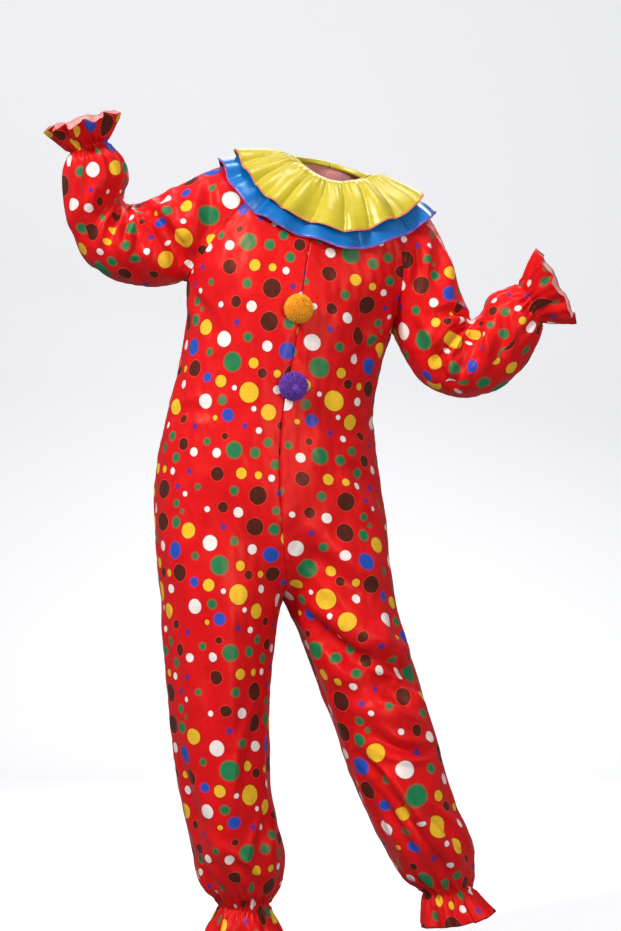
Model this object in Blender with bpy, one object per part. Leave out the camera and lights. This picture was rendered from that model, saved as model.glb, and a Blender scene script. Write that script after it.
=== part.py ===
"""Clown jumpsuit, worn and filled out: raglan sleeves, gathered cuffs, a double ruffled collar.

Metres, +Z up. The front faces -Y. The origin is the centre of the neck opening, where the wearer's
shoulders hold the suit up. "Right" and "left" are the wearer's: right is the -X side, written as
side = -1, and left is side = +1. Every cloth piece is lofted through short tables of sections and
given the wall thickness of the cloth. Neighbours share their seam points, and each is then drawn
back from its seams.
"""

import math
from collections import namedtuple

import bmesh
import bpy
import numpy as np
from mathutils import Vector
from mathutils.bvhtree import BVHTree

# Cloth and seams
CLOTH = 0.0015              # wall of every cloth piece
SEAM_SETBACK = 0.00025      # each piece stops this far from its seam line
PANEL_COLUMNS = 9           # facets across a front or a back
RAGLAN_ROWS = 7             # facets along one raglan seam
RUFFLE_ROWS = 6             # last rows of a leg or sleeve, which keep their section's own shape
RELAX_PASSES = 2
NECK_COLUMNS = 6            # facets along the sleeve's share of the neckline
SIDES = {"right": -1, "left": 1}

# Neckline: a level oval, dipped at the front and leaning with the shoulders
NECK_X = -0.004
NECK_HALF_WIDTH = 0.070
NECK_HALF_DEPTH = 0.060
NECK_FRONT_Z = -0.021
NECK_SIDE_Z = 0.008
NECK_BACK_Z = 0.020
NECK_LEAN = 0.246           # fall of the neckline per metre towards +X
RAGLAN_FRONT = math.radians(42)    # where the raglan seams meet the neckline, from centre front
RAGLAN_BACK = math.radians(140)
NECK_SETBACK = 0.003        # the panels and ruffles stop this far outside the neckline

# The body is turned a little, with its front towards +X
TURN = math.radians(10)
CROTCH = np.array([-0.0884, 0.0, -0.740])
RISE_TOP_Z = -0.630         # where the centre seams start to curve under
RISE_ROWS = 5
THIGH_TOP_Z = -0.540        # where the fronts start to round into two thighs
SEAM_REACH = 0.10           # share of a section that follows its centre seam's curve

# fall is how far a section drops per metre towards +X; rows is how many facets lead to it
TorsoSection = namedtuple("TorsoSection", "name x y z half_width front back fall rows")
TORSO = (
    TorsoSection("chest", -0.078, 0.000, -0.2405, 0.1815, 0.130, 0.120, 0.253, 0),
    TorsoSection("ribs", -0.084, 0.000, -0.297, 0.1720, 0.127, 0.115, 0.215, 2),
    TorsoSection("waist", -0.106, 0.000, -0.412, 0.1780, 0.121, 0.112, 0.133, 3),
    TorsoSection("belly", -0.113, 0.000, -0.513, 0.1970, 0.125, 0.126, 0.066, 2),
    TorsoSection("hip", -0.110, 0.003, -0.604, 0.2060, 0.130, 0.145, 0.045, 2),
    TorsoSection("seat", -0.097, 0.000, -0.740, 0.2080, 0.120, 0.140, 0.020, 0),
)
LEG_TOP_FRONT = 0.116       # half-depths of the leg's own ring at the crotch
LEG_TOP_BACK = 0.130

LegSection = namedtuple("LegSection", "name x y z half_width front back fall rows flute")
LEGS = {
    "right": (
        LegSection("thigh", -0.2000, -0.020, -0.8365, 0.0985, 0.110, 0.116, 0.00, 2, 0.000),
        LegSection("knee", -0.1980, -0.026, -0.9590, 0.0875, 0.098, 0.102, 0.00, 2, 0.000),
        LegSection("shin", -0.1893, -0.016, -1.0815, 0.0815, 0.092, 0.098, 0.00, 2, 0.000),
        LegSection("calf", -0.1645, -0.004, -1.1920, 0.0797, 0.086, 0.092, 0.00, 2, 0.000),
        LegSection("puff", -0.1610, 0.004, -1.2495, 0.0665, 0.067, 0.070, 0.00, 1, 0.002),
        LegSection("elastic", -0.1566, 0.008, -1.2830, 0.0446, 0.045, 0.046, 0.00, 1, 0.002),
        LegSection("flare", -0.1572, 0.008, -1.3060, 0.0540, 0.054, 0.055, 0.00, 1, 0.004),
        LegSection("hem", -0.1575, 0.008, -1.3500, 0.0690, 0.068, 0.068, 0.00, 2, 0.006),
    ),
    "left": (
        LegSection("thigh", 0.0420, 0.012, -0.8365, 0.0935, 0.108, 0.114, 0.02, 2, 0.000),
        LegSection("knee", 0.0965, 0.002, -0.9940, 0.0900, 0.098, 0.102, 0.04, 3, 0.000),
        LegSection("shin", 0.1280, 0.006, -1.0990, 0.0850, 0.092, 0.098, 0.02, 2, 0.000),
        LegSection("calf", 0.1700, 0.014, -1.1865, 0.0780, 0.084, 0.088, 0.00, 1, 0.000),
        LegSection("puff", 0.1850, 0.018, -1.2320, 0.0630, 0.064, 0.066, -0.04, 1, 0.002),
        LegSection("elastic", 0.2020, 0.020, -1.2600, 0.0446, 0.045, 0.046, -0.08, 1, 0.002),
        LegSection("flare", 0.2083, 0.020, -1.2800, 0.0530, 0.052, 0.053, -0.12, 1, 0.004),
        LegSection("hem", 0.2188, 0.020, -1.3110, 0.0630, 0.062, 0.062, -0.18, 2, 0.006),
    ),
}

# Centre seams above the chest and the raglan seams, each from the neck down to the chest section
SeamPoint = namedtuple("SeamPoint", "x y z")
CENTRE_FRONT = (
    SeamPoint(-0.026, -0.086, -0.062),
    SeamPoint(-0.042, -0.112, -0.1435),
)
CENTRE_BACK = (
    SeamPoint(-0.040, 0.088, -0.035),
    SeamPoint(-0.080, 0.113, -0.130),
)
RAGLANS = {
    ("right", "front"): (
        SeamPoint(-0.106, -0.072, -0.028),
        SeamPoint(-0.1645, -0.085, -0.0718),
        SeamPoint(-0.2065, -0.084, -0.1260),
        SeamPoint(-0.2440, -0.066, -0.1760),
    ),
    ("right", "back"): (
        SeamPoint(-0.106, 0.070, -0.006),
        SeamPoint(-0.1645, 0.080, -0.0600),
        SeamPoint(-0.2100, 0.072, -0.1180),
        SeamPoint(-0.2470, 0.030, -0.1740),
    ),
    ("left", "front"): (
        SeamPoint(0.085, -0.074, -0.0650),
        SeamPoint(0.119, -0.084, -0.1210),
        SeamPoint(0.124, -0.074, -0.1680),
        SeamPoint(0.114, -0.036, -0.2350),
    ),
    ("left", "back"): (
        SeamPoint(0.085, 0.072, -0.0300),
        SeamPoint(0.118, 0.087, -0.0900),
        SeamPoint(0.130, 0.088, -0.1500),
        SeamPoint(0.120, 0.070, -0.2250),
    ),
}

# A sleeve section runs from top to bottom in the XZ plane, with y and half_depth across it. lean
# tips its front away from the opening, flute is the depth of the gathers there, and twist is how
# many degrees the sleeve's seam has turned from the underside towards the front.
SleeveSection = namedtuple(
    "SleeveSection", "name top_x top_z bottom_x bottom_z y half_depth lean rows flute twist"
)
SLEEVES = {
    "right": (
        SleeveSection("shoulder", -0.205, 0.008, -0.288, -0.202, -0.006, 0.084, 0.000, 3, 0.000, 0),
        SleeveSection("arm", -0.288, -0.032, -0.330, -0.204, -0.008, 0.080, 0.000, 2, 0.000, 8),
        SleeveSection("bend", -0.345, -0.062, -0.385, -0.192, -0.012, 0.072, 0.000, 2, 0.000, 25),
        SleeveSection("elbow", -0.369, -0.051, -0.436, -0.171, -0.019, 0.067, 0.000, 1, 0.000, 50),
        SleeveSection("crook", -0.362, -0.034, -0.461, -0.111, -0.030, 0.063, 0.000, 1, 0.000, 62),
        SleeveSection("forearm", -0.354, -0.012, -0.468, -0.030, -0.042, 0.060, 0.000, 1, 0.000, 72),
        SleeveSection("puff", -0.362, 0.015, -0.461, 0.008, -0.050, 0.053, 0.000, 1, 0.002, 75),
        SleeveSection("elastic", -0.3885, 0.0445, -0.4545, 0.0245, -0.058, 0.034, 0.003, 1, 0.002, 76),
        SleeveSection("flare", -0.380, 0.064, -0.476, 0.044, -0.064, 0.048, 0.008, 1, 0.004, 76),
        SleeveSection("rim", -0.371, 0.095, -0.493, 0.064, -0.073, 0.062, 0.016, 2, 0.006, 78),
    ),
    "left": (
        SleeveSection("shoulder", 0.180, -0.086, 0.118, -0.316, 0.012, 0.085, 0.000, 3, 0.000, 0),
        SleeveSection("arm", 0.203, -0.140, 0.130, -0.338, 0.008, 0.082, 0.000, 1, 0.000, 5),
        SleeveSection("bend", 0.222, -0.201, 0.148, -0.365, 0.000, 0.079, 0.000, 1, 0.000, 12),
        SleeveSection("elbow", 0.238, -0.242, 0.172, -0.391, -0.008, 0.075, 0.000, 1, 0.000, 30),
        SleeveSection("crook", 0.243, -0.262, 0.230, -0.408, -0.016, 0.071, 0.000, 1, 0.000, 62),
        SleeveSection("forearm", 0.258, -0.246, 0.287, -0.391, -0.025, 0.066, 0.000, 1, 0.000, 75),
        SleeveSection("lower", 0.271, -0.221, 0.324, -0.348, -0.033, 0.061, 0.000, 1, 0.000, 74),
        SleeveSection("puff", 0.296, -0.206, 0.352, -0.304, -0.042, 0.051, 0.000, 1, 0.002, 70),
        SleeveSection("elastic", 0.319, -0.1995, 0.362, -0.268, -0.050, 0.036, 0.002, 1, 0.002, 66),
        SleeveSection("flare", 0.332, -0.174, 0.382, -0.266, -0.055, 0.047, 0.006, 1, 0.004, 66),
        SleeveSection("rim", 0.3535, -0.143, 0.418, -0.2625, -0.062, 0.060, 0.012, 2, 0.006, 66),
    ),
}

# Largest folds: soft troughs (depth below 0) and ridges along a line seen from the front, on the
# front (face -1) or the back (face +1)
Fold = namedtuple("Fold", "name face x0 z0 x1 z1 half_width depth")
FOLDS = (
    Fold("left hip to knee", -1, -0.030, -0.800, 0.120, -0.880, 0.034, -0.008),
    Fold("left knee", -1, 0.020, -0.900, 0.150, -0.890, 0.030, -0.008),
    Fold("left shin", -1, 0.095, -1.020, 0.180, -1.200, 0.030, 0.006),
    Fold("left side of waist", -1, 0.055, -0.230, 0.060, -0.320, 0.034, -0.006),
    Fold("right shin", -1, -0.165, -1.000, -0.190, -1.200, 0.034, 0.006),
    Fold("right armpit", -1, -0.255, -0.170, -0.330, -0.090, 0.030, -0.007),
    Fold("left crook", -1, 0.240, -0.265, 0.190, -0.350, 0.030, -0.008),
    Fold("right crook", -1, -0.370, -0.050, -0.420, -0.140, 0.030, -0.008),
    Fold("seat", 1, -0.180, -0.720, -0.060, -0.770, 0.036, -0.007),
    Fold("back of left knee", 1, 0.030, -0.930, 0.150, -0.950, 0.034, -0.008),
    Fold("back of right knee", 1, -0.270, -0.950, -0.130, -0.960, 0.034, -0.008),
    Fold("small of the back", 1, -0.200, -0.430, -0.020, -0.440, 0.040, -0.006),
)

# Collar ruffles: width is measured from the neckline along the cloth
Ruffle = namedtuple("Ruffle", "node width clear wave waves")
COLLAR_COLUMNS = 48
COLLAR_ROWS = 3
COLLAR_OPENING = math.radians(0.9)     # half of the slit at centre back
BLUE_RUFFLE = Ruffle("collar_blue", 0.122, 0.0072, 0.0070, 13)
YELLOW_RUFFLE = Ruffle("collar_yellow", 0.085, 0.0040, 0.0085, 15)
COLLAR_PASSES = 4           # smoothing round the neck, so the ruffles span the hollows under them
COLLAR_MARCH = 0.004        # step of the drape from the neckline outwards
COLLAR_STAND = 0.020        # the ruffles stand up this far out, then follow the shoulders

BINDING_HEIGHT = 0.011
BINDING_DEPTH = 0.002       # how far the binding reaches below the neck edge
BINDING_WALL = 0.0018

LAP_WIDTH = 0.030
LAP_END_Z = -0.420
LAP_LIFT = 0.0004

# Pompoms: domed discs sewn on the centre-front seam
Pompom = namedtuple("Pompom", "node x z radius dome colour")
POMPOMS = (
    Pompom("pom_orange", -0.0616, -0.2485, 0.0245, 0.0150, (0.91, 0.30, 0.01)),
    Pompom("pom_purple", -0.0707, -0.3787, 0.0245, 0.0160, (0.11, 0.04, 0.30)),
)
POMPOM_GAP = 0.0012         # from the mean of the seam's two sides, so the yarn stays clear

RED = (0.75, 0.012, 0.017)
YELLOW = (0.79, 0.68, 0.03)
BLUE = (0.006, 0.14, 0.60)


def unit(vectors):
    """The vectors at length one."""
    return vectors / np.maximum(np.linalg.norm(vectors, axis=-1, keepdims=True), 1e-12)


def along(turn):
    """The wearer's left and the way the front faces, level, for a body turned by this angle."""
    left = np.array([math.cos(turn), math.sin(turn), 0.0])
    front = np.array([math.sin(turn), -math.cos(turn), 0.0])
    return left, front


def smooth(points, stations, at):
    """A cubic curve through points at rising stations, read at the places in at."""
    points = np.asarray(points, float)
    stations = np.asarray(stations, float)
    steps = np.diff(stations)
    slopes = np.diff(points, axis=0) / steps.reshape(-1, *([1] * (points.ndim - 1)))
    tangents = np.concatenate([slopes[:1], slopes[-1:]])
    if len(points) > 2:
        before = steps[:-1].reshape(-1, *([1] * (points.ndim - 1)))
        after = steps[1:].reshape(-1, *([1] * (points.ndim - 1)))
        middle = (slopes[1:] * before + slopes[:-1] * after) / (before + after)
        tangents = np.concatenate([slopes[:1], middle, slopes[-1:]])
    read = []
    for place in at:
        span = int(np.clip(np.searchsorted(stations, place, side="right") - 1, 0, len(steps) - 1))
        u = (place - stations[span]) / steps[span]
        rise = tangents[span] * steps[span]
        fall = tangents[span + 1] * steps[span]
        start, end = points[span], points[span + 1]
        read.append(
            (2 * u**3 - 3 * u**2 + 1) * start
            + (u**3 - 2 * u**2 + u) * rise
            + (3 * u**2 - 2 * u**3) * end
            + (u**3 - u**2) * fall
        )
    return np.array(read)


def stations_of(points):
    """Distances along a row of points, or the mean distance between rows of points."""
    points = np.asarray(points, float)
    gaps = np.linalg.norm(np.diff(points, axis=0), axis=-1)
    gaps = gaps.reshape(len(gaps), -1).mean(axis=1)
    return np.concatenate([[0.0], np.cumsum(gaps)])


def seam(points, count):
    """count + 1 points, evenly spaced along a smooth seam."""
    stations = stations_of(points)
    return smooth(points, stations, np.linspace(0, stations[-1], count + 1))


def neck_point(angle, side):
    """A point of the neckline. The angle is 0 at centre front and pi at centre back."""
    across = side * NECK_HALF_WIDTH * math.sin(angle)
    end = NECK_FRONT_Z if math.cos(angle) > 0 else NECK_BACK_Z
    z = NECK_SIDE_Z * math.sin(angle) ** 2 + end * math.cos(angle) ** 2 - NECK_LEAN * across
    return np.array([NECK_X + across, -NECK_HALF_DEPTH * math.cos(angle), z])


def torso_section(values, side, shares):
    """Half a torso section, from centre front (share 0) round the side to centre back (share 1)."""
    x, y, z, half_width, front, back, fall = values
    left, forward = along(TURN)
    angles = np.pi * np.asarray(shares)[:, None]
    depth = np.where(np.cos(angles) > 0, front, back)
    offset = side * left * half_width * np.sin(angles) + forward * depth * np.cos(angles)
    offset[:, 2] = -fall * offset[:, 0]
    return np.array([x, y, z]) + offset


def leg_ring(centre, half_width, front, back, fall, side, shares):
    """A leg section, from the inseam (share 0) round the front, side and back to the inseam."""
    left, forward = along(TURN)
    angles = 2 * np.pi * np.asarray(shares)[:, None]
    depth = np.where(np.sin(angles) > 0, front, back)
    offset = -side * left * half_width * np.cos(angles) + forward * depth * np.sin(angles)
    offset[:, 2] = -fall * offset[:, 0]
    return centre + offset


def fluted(ring, centre, depth):
    """A ring whose every second point is drawn in, as gathers draw cloth in."""
    sign = np.where(np.arange(len(ring)) % 2 == 0, 1.0, -1.0)[:, None]
    return ring + unit(ring - centre) * sign * depth


def torso_rows(side, shares):
    """Rows from the chest down to the crotch, blended from the body's section to the leg's."""
    rows_between = [section.rows for section in TORSO[1:-1]]
    numbers = np.array([section[1:8] for section in TORSO])
    heights = -numbers[:, 2]
    places = [heights[0]]
    for start, end, count in zip(heights[:-2], heights[1:-1], rows_between):
        places += list(start + (end - start) * np.arange(1, count + 1) / count)
    rise_angles = [math.pi / 2 * step / RISE_ROWS for step in range(1, RISE_ROWS + 1)]
    rise = -CROTCH[2] + RISE_TOP_Z
    places = [place for place in places if place <= -RISE_TOP_Z + 1e-6]
    curves = [0.0] * len(places)
    for angle in rise_angles:
        places.append(-RISE_TOP_Z + rise * math.sin(angle))
        curves.append(1 - math.cos(angle))
    from_seam = np.minimum(shares, 1 - np.asarray(shares)) / SEAM_REACH
    seam_share = np.exp(-(from_seam**2))[:, None]
    left, _ = along(TURN)
    rows = []
    for values, curve in zip(smooth(numbers, heights, places), curves):
        body = torso_section(values, side, shares)
        down = np.clip((values[2] - THIGH_TOP_Z) / (CROTCH[2] - THIGH_TOP_Z), 0, 1)
        blend = seam_share * curve + (1 - seam_share) * down**2 * (3 - 2 * down)
        if down > 0:
            inner = np.array([CROTCH[0], CROTCH[1], values[2]])
            half_width = np.linalg.norm(torso_section(values, side, [0.5])[0, :2] - inner[:2]) / 2
            centre = inner + side * left * half_width
            leg = leg_ring(
                centre, half_width, LEG_TOP_FRONT, LEG_TOP_BACK, values[6], side, shares
            )
            leg[:, 2] -= leg[0, 2] - inner[2]
            body = (1 - blend) * body + blend * leg
        rows.append(body)
    return rows


def leg_rows(name, crotch_row, shares):
    """Rows below the crotch, down to the ankle hem."""
    side = SIDES[name]
    rings = [crotch_row]
    for section in LEGS[name]:
        centre = np.array([section.x, section.y, section.z])
        ring = leg_ring(
            centre, section.half_width, section.front, section.back, section.fall, side, shares
        )
        rings.append(fluted(ring, centre, section.flute))
    stations = stations_of(rings)
    places = []
    for index, section in enumerate(LEGS[name]):
        gap = stations[index + 1] - stations[index]
        places += list(stations[index] + gap * np.arange(1, section.rows + 1) / section.rows)
    return list(smooth(rings, stations, places))


def shoulder_rows(name, face, chest_row, columns):
    """Rows from the neckline down to the chest, between the centre seam and the raglan seam."""
    side = SIDES[name]
    front = face == "front"
    neck_angle = RAGLAN_FRONT if front else RAGLAN_BACK
    centre_neck = neck_point(0.0 if front else math.pi, side)
    centre_table = CENTRE_FRONT if front else CENTRE_BACK
    centre_line = seam([centre_neck, *centre_table, chest_row[0]], RAGLAN_ROWS)
    side_points = [neck_point(neck_angle, side), *RAGLANS[name, face], chest_row[-1]]
    side_line = seam(side_points, RAGLAN_ROWS)
    end_neck = neck_angle if front else math.pi - neck_angle
    shares = np.linspace(0, 1, columns + 1)[:, None]
    rows = []
    for row in range(RAGLAN_ROWS):
        down = row / RAGLAN_ROWS
        end = end_neck + (math.pi / 2 - end_neck) * down
        left, forward = along(TURN * down)
        centre, edge = centre_line[row], side_line[row]
        step = edge - centre
        across = np.sin(end * shares) / math.sin(end)
        inward = 1 - (np.cos(end * shares) - math.cos(end)) / (1 - math.cos(end))
        sideways = left * (step @ left) + np.array([0.0, 0.0, step[2]])
        rows.append(centre + sideways * across + forward * (step @ forward) * inward)
    return rows


def body_half(name):
    """Front and back grids of one side: rows from neck to ankle, columns from the centre out."""
    side = SIDES[name]
    shares = np.linspace(0, 1, 2 * PANEL_COLUMNS + 1)
    lower = torso_rows(side, shares)
    lower += leg_rows(name, lower[-1], shares)
    middle = PANEL_COLUMNS
    fronts = [row[: middle + 1] for row in lower]
    backs = [row[middle:][::-1] for row in lower]
    fronts = shoulder_rows(name, "front", fronts[0], PANEL_COLUMNS) + fronts
    backs = shoulder_rows(name, "back", backs[0], PANEL_COLUMNS) + backs
    return np.array(fronts), np.array(backs)


def sleeve_grid(name, front, back):
    """A sleeve: its first ring follows both raglan seams and the neckline between them."""
    side = SIDES[name]
    front_seam = front[RAGLAN_ROWS::-1, -1]
    back_seam = back[: RAGLAN_ROWS + 1, -1]
    neck_angles = np.linspace(RAGLAN_FRONT, RAGLAN_BACK, NECK_COLUMNS + 1)[1:-1]
    neck = [neck_point(angle, side) for angle in neck_angles]
    first = np.array([*front_seam, *neck, *back_seam[:-1]])
    angles = 2 * np.pi * np.arange(len(first))[:, None] / len(first)
    rings = [first]
    for section in SLEEVES[name]:
        top = np.array([section.top_x, section.y, section.top_z])
        bottom = np.array([section.bottom_x, section.y, section.bottom_z])
        half = (top - bottom) / 2
        axis = side * unit(np.array([half[2], 0.0, -half[0]]))
        forward = np.array([0.0, -section.half_depth, 0.0]) - axis * section.lean
        turned = angles + math.radians(section.twist)
        ring = (top + bottom) / 2 - half * np.cos(turned) + forward * np.sin(turned)
        rings.append(fluted(ring, (top + bottom) / 2, section.flute))
    stations = stations_of(rings)
    places = [0.0]
    for index, section in enumerate(SLEEVES[name]):
        gap = stations[index + 1] - stations[index]
        places += list(stations[index] + gap * np.arange(1, section.rows + 1) / section.rows)
    return smooth(rings, stations, places)


def quads_of(rows, columns, wraps):
    """Corner indices of a grid's facets."""
    last = columns if wraps else columns - 1
    for row in range(rows - 1):
        for column in range(last):
            after = (column + 1) % columns
            yield (
                row * columns + column,
                row * columns + after,
                (row + 1) * columns + after,
                (row + 1) * columns + column,
            )


def shared_normals(grids):
    """Outward normals of several (grid, wraps, flip), averaged where grids share a point."""
    sums = {}
    for grid, wraps, flip in grids:
        points = grid.reshape(-1, 3)
        for a, b, c, d in quads_of(grid.shape[0], grid.shape[1], wraps):
            normal = np.cross(points[c] - points[a], points[d] - points[b]) * flip
            for corner in (a, b, c, d):
                key = tuple(np.round(points[corner], 6))
                sums[key] = sums.get(key, 0) + normal
    normals = []
    for grid, _, _ in grids:
        flat = [sums[tuple(np.round(point, 6))] for point in grid.reshape(-1, 3)]
        normals.append(unit(np.array(flat)).reshape(grid.shape))
    return normals


def relaxed(grids, frozen_rows, passes):
    """The grids with each free point moved halfway to the mean of its neighbours, seams together."""
    places, neighbours, frozen, keys = {}, {}, set(), []
    for (grid, wraps, _), last_rows in zip(grids, frozen_rows):
        rows, columns = grid.shape[:2]
        points = grid.reshape(-1, 3)
        names = [tuple(np.round(point, 6)) for point in points]
        keys.append(names)
        places.update(zip(names, points))
        for corners in quads_of(rows, columns, wraps):
            for start, end in zip(corners, corners[1:] + corners[:1]):
                neighbours.setdefault(names[start], set()).add(names[end])
                neighbours.setdefault(names[end], set()).add(names[start])
        frozen.update(names[(rows - last_rows) * columns :])
        on_neck = range(RAGLAN_ROWS, RAGLAN_ROWS + NECK_COLUMNS + 1) if wraps else range(columns)
        frozen.update(names[column] for column in on_neck)
    free = [name for name in places if name not in frozen]
    for _ in range(passes):
        means = {}
        for name in free:
            near = sorted(neighbours[name])
            means[name] = np.mean([places[other] for other in near], axis=0)
        for name in free:
            places[name] = (places[name] + means[name]) / 2
    return [
        (np.array([places[name] for name in names]).reshape(grid.shape), wraps, flip)
        for names, (grid, wraps, flip) in zip(keys, grids)
    ]


def fold_shift(points, normals):
    """How far each point moves along its normal, from the table of folds."""
    shift = np.zeros(points.shape[:-1])
    for fold in FOLDS:
        start = np.array([fold.x0, fold.z0])
        run = np.array([fold.x1, fold.z1]) - start
        flat = points[..., [0, 2]] - start
        place = np.clip(flat @ run / (run @ run), 0, 1)
        away = np.linalg.norm(flat - place[..., None] * run, axis=-1) / fold.half_width
        ends = np.sin(np.pi * np.clip(place, 0.05, 0.95)) ** 0.5
        faces = np.clip(normals[..., 1] * fold.face * 2, 0, 1)
        shift += fold.depth * np.exp(-(away**2) * 1.6) * ends * faces
    return shift


def inward(edge, inside, wraps=False):
    """The way from each point of an edge into its piece, square to the edge."""
    if wraps:
        run = np.roll(edge, -1, axis=0) - np.roll(edge, 1, axis=0)
    else:
        run = np.gradient(edge, axis=0)
    run = unit(run)
    step = inside - edge
    return unit(step - run * np.sum(step * run, axis=1, keepdims=True))


def drawn_back(grid, wraps):
    """The grid with its edges drawn back from the seams and from the neckline."""
    result = grid.copy()
    top = inward(grid[0], grid[1], wraps)
    if wraps:
        neck = np.arange(RAGLAN_ROWS, RAGLAN_ROWS + NECK_COLUMNS + 1)
        result[0] += top * SEAM_SETBACK
        result[0, neck] += unit(grid[1] - grid[0])[neck] * NECK_SETBACK
        return result
    result[0] += top * NECK_SETBACK
    result[:, 0] += inward(grid[:, 0], grid[:, 1]) * SEAM_SETBACK
    result[:, -1] += inward(grid[:, -1], grid[:, -2]) * SEAM_SETBACK
    return result


def wall(name, outer, inner, wraps, flip, colour, collection):
    """A closed cloth wall between an outer and an inner grid."""
    rows, columns = outer.shape[:2]
    shape = bmesh.new()
    sheets = []
    for grid in (outer, inner):
        sheets.append([shape.verts.new(point) for point in grid.reshape(-1, 3)])
    top, under = sheets
    for quad in quads_of(rows, columns, wraps):
        facing = quad if flip > 0 else quad[::-1]
        shape.faces.new([top[corner] for corner in facing])
        shape.faces.new([under[corner] for corner in facing[::-1]])
    rim = []
    last = columns if wraps else columns - 1
    for column in range(last):
        after = (column + 1) % columns
        rim.append((after, column))
        base = (rows - 1) * columns
        rim.append((base + column, base + after))
    if not wraps:
        for row in range(rows - 1):
            rim.append((row * columns, (row + 1) * columns))
            rim.append(((row + 2) * columns - 1, (row + 1) * columns - 1))
    for start, end in rim:
        corners = [top[start], top[end], under[end], under[start]]
        shape.faces.new(corners if flip > 0 else corners[::-1])
    bmesh.ops.triangulate(shape, faces=shape.faces)
    return finish_piece(name, shape, colour, collection)


def finish_piece(name, shape, colour, collection, roughness=0.4):
    """An object with its own material, from a bmesh."""
    mesh = bpy.data.meshes.new(name)
    shape.to_mesh(mesh)
    shape.free()
    piece = bpy.data.objects.new(name, mesh)
    collection.objects.link(piece)
    material = bpy.data.materials.new(name)
    material.use_nodes = True
    surface = material.node_tree.nodes["Principled BSDF"]
    surface.inputs["Base Color"].default_value = (*colour, 1)
    surface.inputs["Roughness"].default_value = roughness
    surface.inputs["Metallic"].default_value = 0.0
    mesh.materials.append(material)
    mesh.shade_smooth()
    mesh.set_sharp_from_angle(angle=math.radians(40))
    return piece


def base_tree(grids):
    """A search tree of the body and sleeves, on which the collar lies."""
    points, polygons = [], []
    for grid, wraps, flip in grids:
        start = len(points)
        points += [Vector(point) for point in grid.reshape(-1, 3)]
        for quad in quads_of(grid.shape[0], grid.shape[1], wraps):
            facing = quad if flip > 0 else quad[::-1]
            polygons.append([start + corner for corner in facing])
    return BVHTree.FromPolygons(points, polygons)


def collar_angles():
    """Angles round the neck from one side of the back slit to the other, 0 at centre front."""
    return np.linspace(-math.pi + COLLAR_OPENING, math.pi - COLLAR_OPENING, COLLAR_COLUMNS + 1)


def neckline(angle):
    """The neck point at a signed angle, and its level direction outwards."""
    side = 1 if angle >= 0 else -1
    point = neck_point(abs(angle), side)
    outward = np.array([
        math.sin(angle) / NECK_HALF_WIDTH, -math.cos(angle) / NECK_HALF_DEPTH, 0.0
    ])
    return point, unit(outward)


def neck_axis():
    """The way up through the leaning neck opening."""
    return unit(np.array([NECK_LEAN, 0.0, 1.0]))


def draped_lines(tree, width):
    """For each angle: points and normals along the shoulders, at even distances from the neck."""
    lines = []
    for angle in collar_angles():
        point, outward = neckline(angle)
        place = Vector(point + outward * NECK_SETBACK)
        heading = Vector(outward)
        path = [(np.array(place), neck_axis())]
        travelled = 0.0
        while travelled < width:
            step = min(COLLAR_MARCH, width - travelled)
            hit, normal, _, _ = tree.find_nearest(place + heading * step)
            if normal.dot(Vector(outward)) + normal.z < 0:
                normal = -normal
            heading = (hit - place).normalized()
            place = hit
            travelled += step
            path.append((np.array(hit), np.array(normal)))
        lines.append(path)
    places = np.array(lines)
    for _ in range(COLLAR_PASSES):
        places[1:-1] = (places[:-2] + 2 * places[1:-1] + places[2:]) / 4
    places[:, :, 1] = unit(places[:, :, 1])
    for line in places:
        for index, (point, normal) in enumerate(line):
            hit, _, _, _ = tree.find_nearest(Vector(point))
            if (point - np.array(hit)) @ normal < 0:
                line[index, 0] = hit
    return places


def ruffle_offset(ruffle, share, angles):
    """Height of a ruffle's waves at a share of its width."""
    wander = 0.5 * np.sin(2 * angles + 0.6) + 0.35 * np.sin(3 * angles + 2.0)
    wave = 0.5 + 0.5 * np.sin(ruffle.waves * angles + wander)
    return ruffle.clear + ruffle.wave * share * wave


def ruffle_grid(tree, ruffle, under):
    """A ruffle's lower grid, its upper grid and its lines, above an optional ruffle under it."""
    lines = draped_lines(tree, ruffle.width)
    angles = collar_angles()
    lower, upper = [], []
    for row in range(COLLAR_ROWS + 1):
        share = row / COLLAR_ROWS
        distance = share * ruffle.width
        lift = ruffle_offset(ruffle, share, angles)
        if under is not None:
            lift += CLOTH + ruffle_offset(under, distance / under.width, angles)
        low_row, high_row = [], []
        for path, height in zip(lines, lift):
            index = min(int(round(distance / COLLAR_MARCH)), len(path) - 1)
            point, normal = path[index]
            lean = min(distance / COLLAR_STAND, 1.0)
            direction = unit(neck_axis() * (1 - lean) + normal * lean)
            low_row.append(point + direction * height)
            high_row.append(point + direction * (height + CLOTH))
        lower.append(low_row)
        upper.append(high_row)
    return np.array(lower), np.array(upper)


def binding_grids():
    """Outer and inner grids of the neck binding, a band that stands round the neck opening."""
    outer, inner = [], []
    for height in (-BINDING_DEPTH, BINDING_HEIGHT):
        outer_row, inner_row = [], []
        for angle in collar_angles():
            point, outward = neckline(angle)
            lifted = point + neck_axis() * height
            outer_row.append(lifted - outward * 2 * SEAM_SETBACK)
            inner_row.append(lifted - outward * (2 * SEAM_SETBACK + BINDING_WALL))
        outer.append(outer_row)
        inner.append(inner_row)
    return np.array(outer), np.array(inner)


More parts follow.
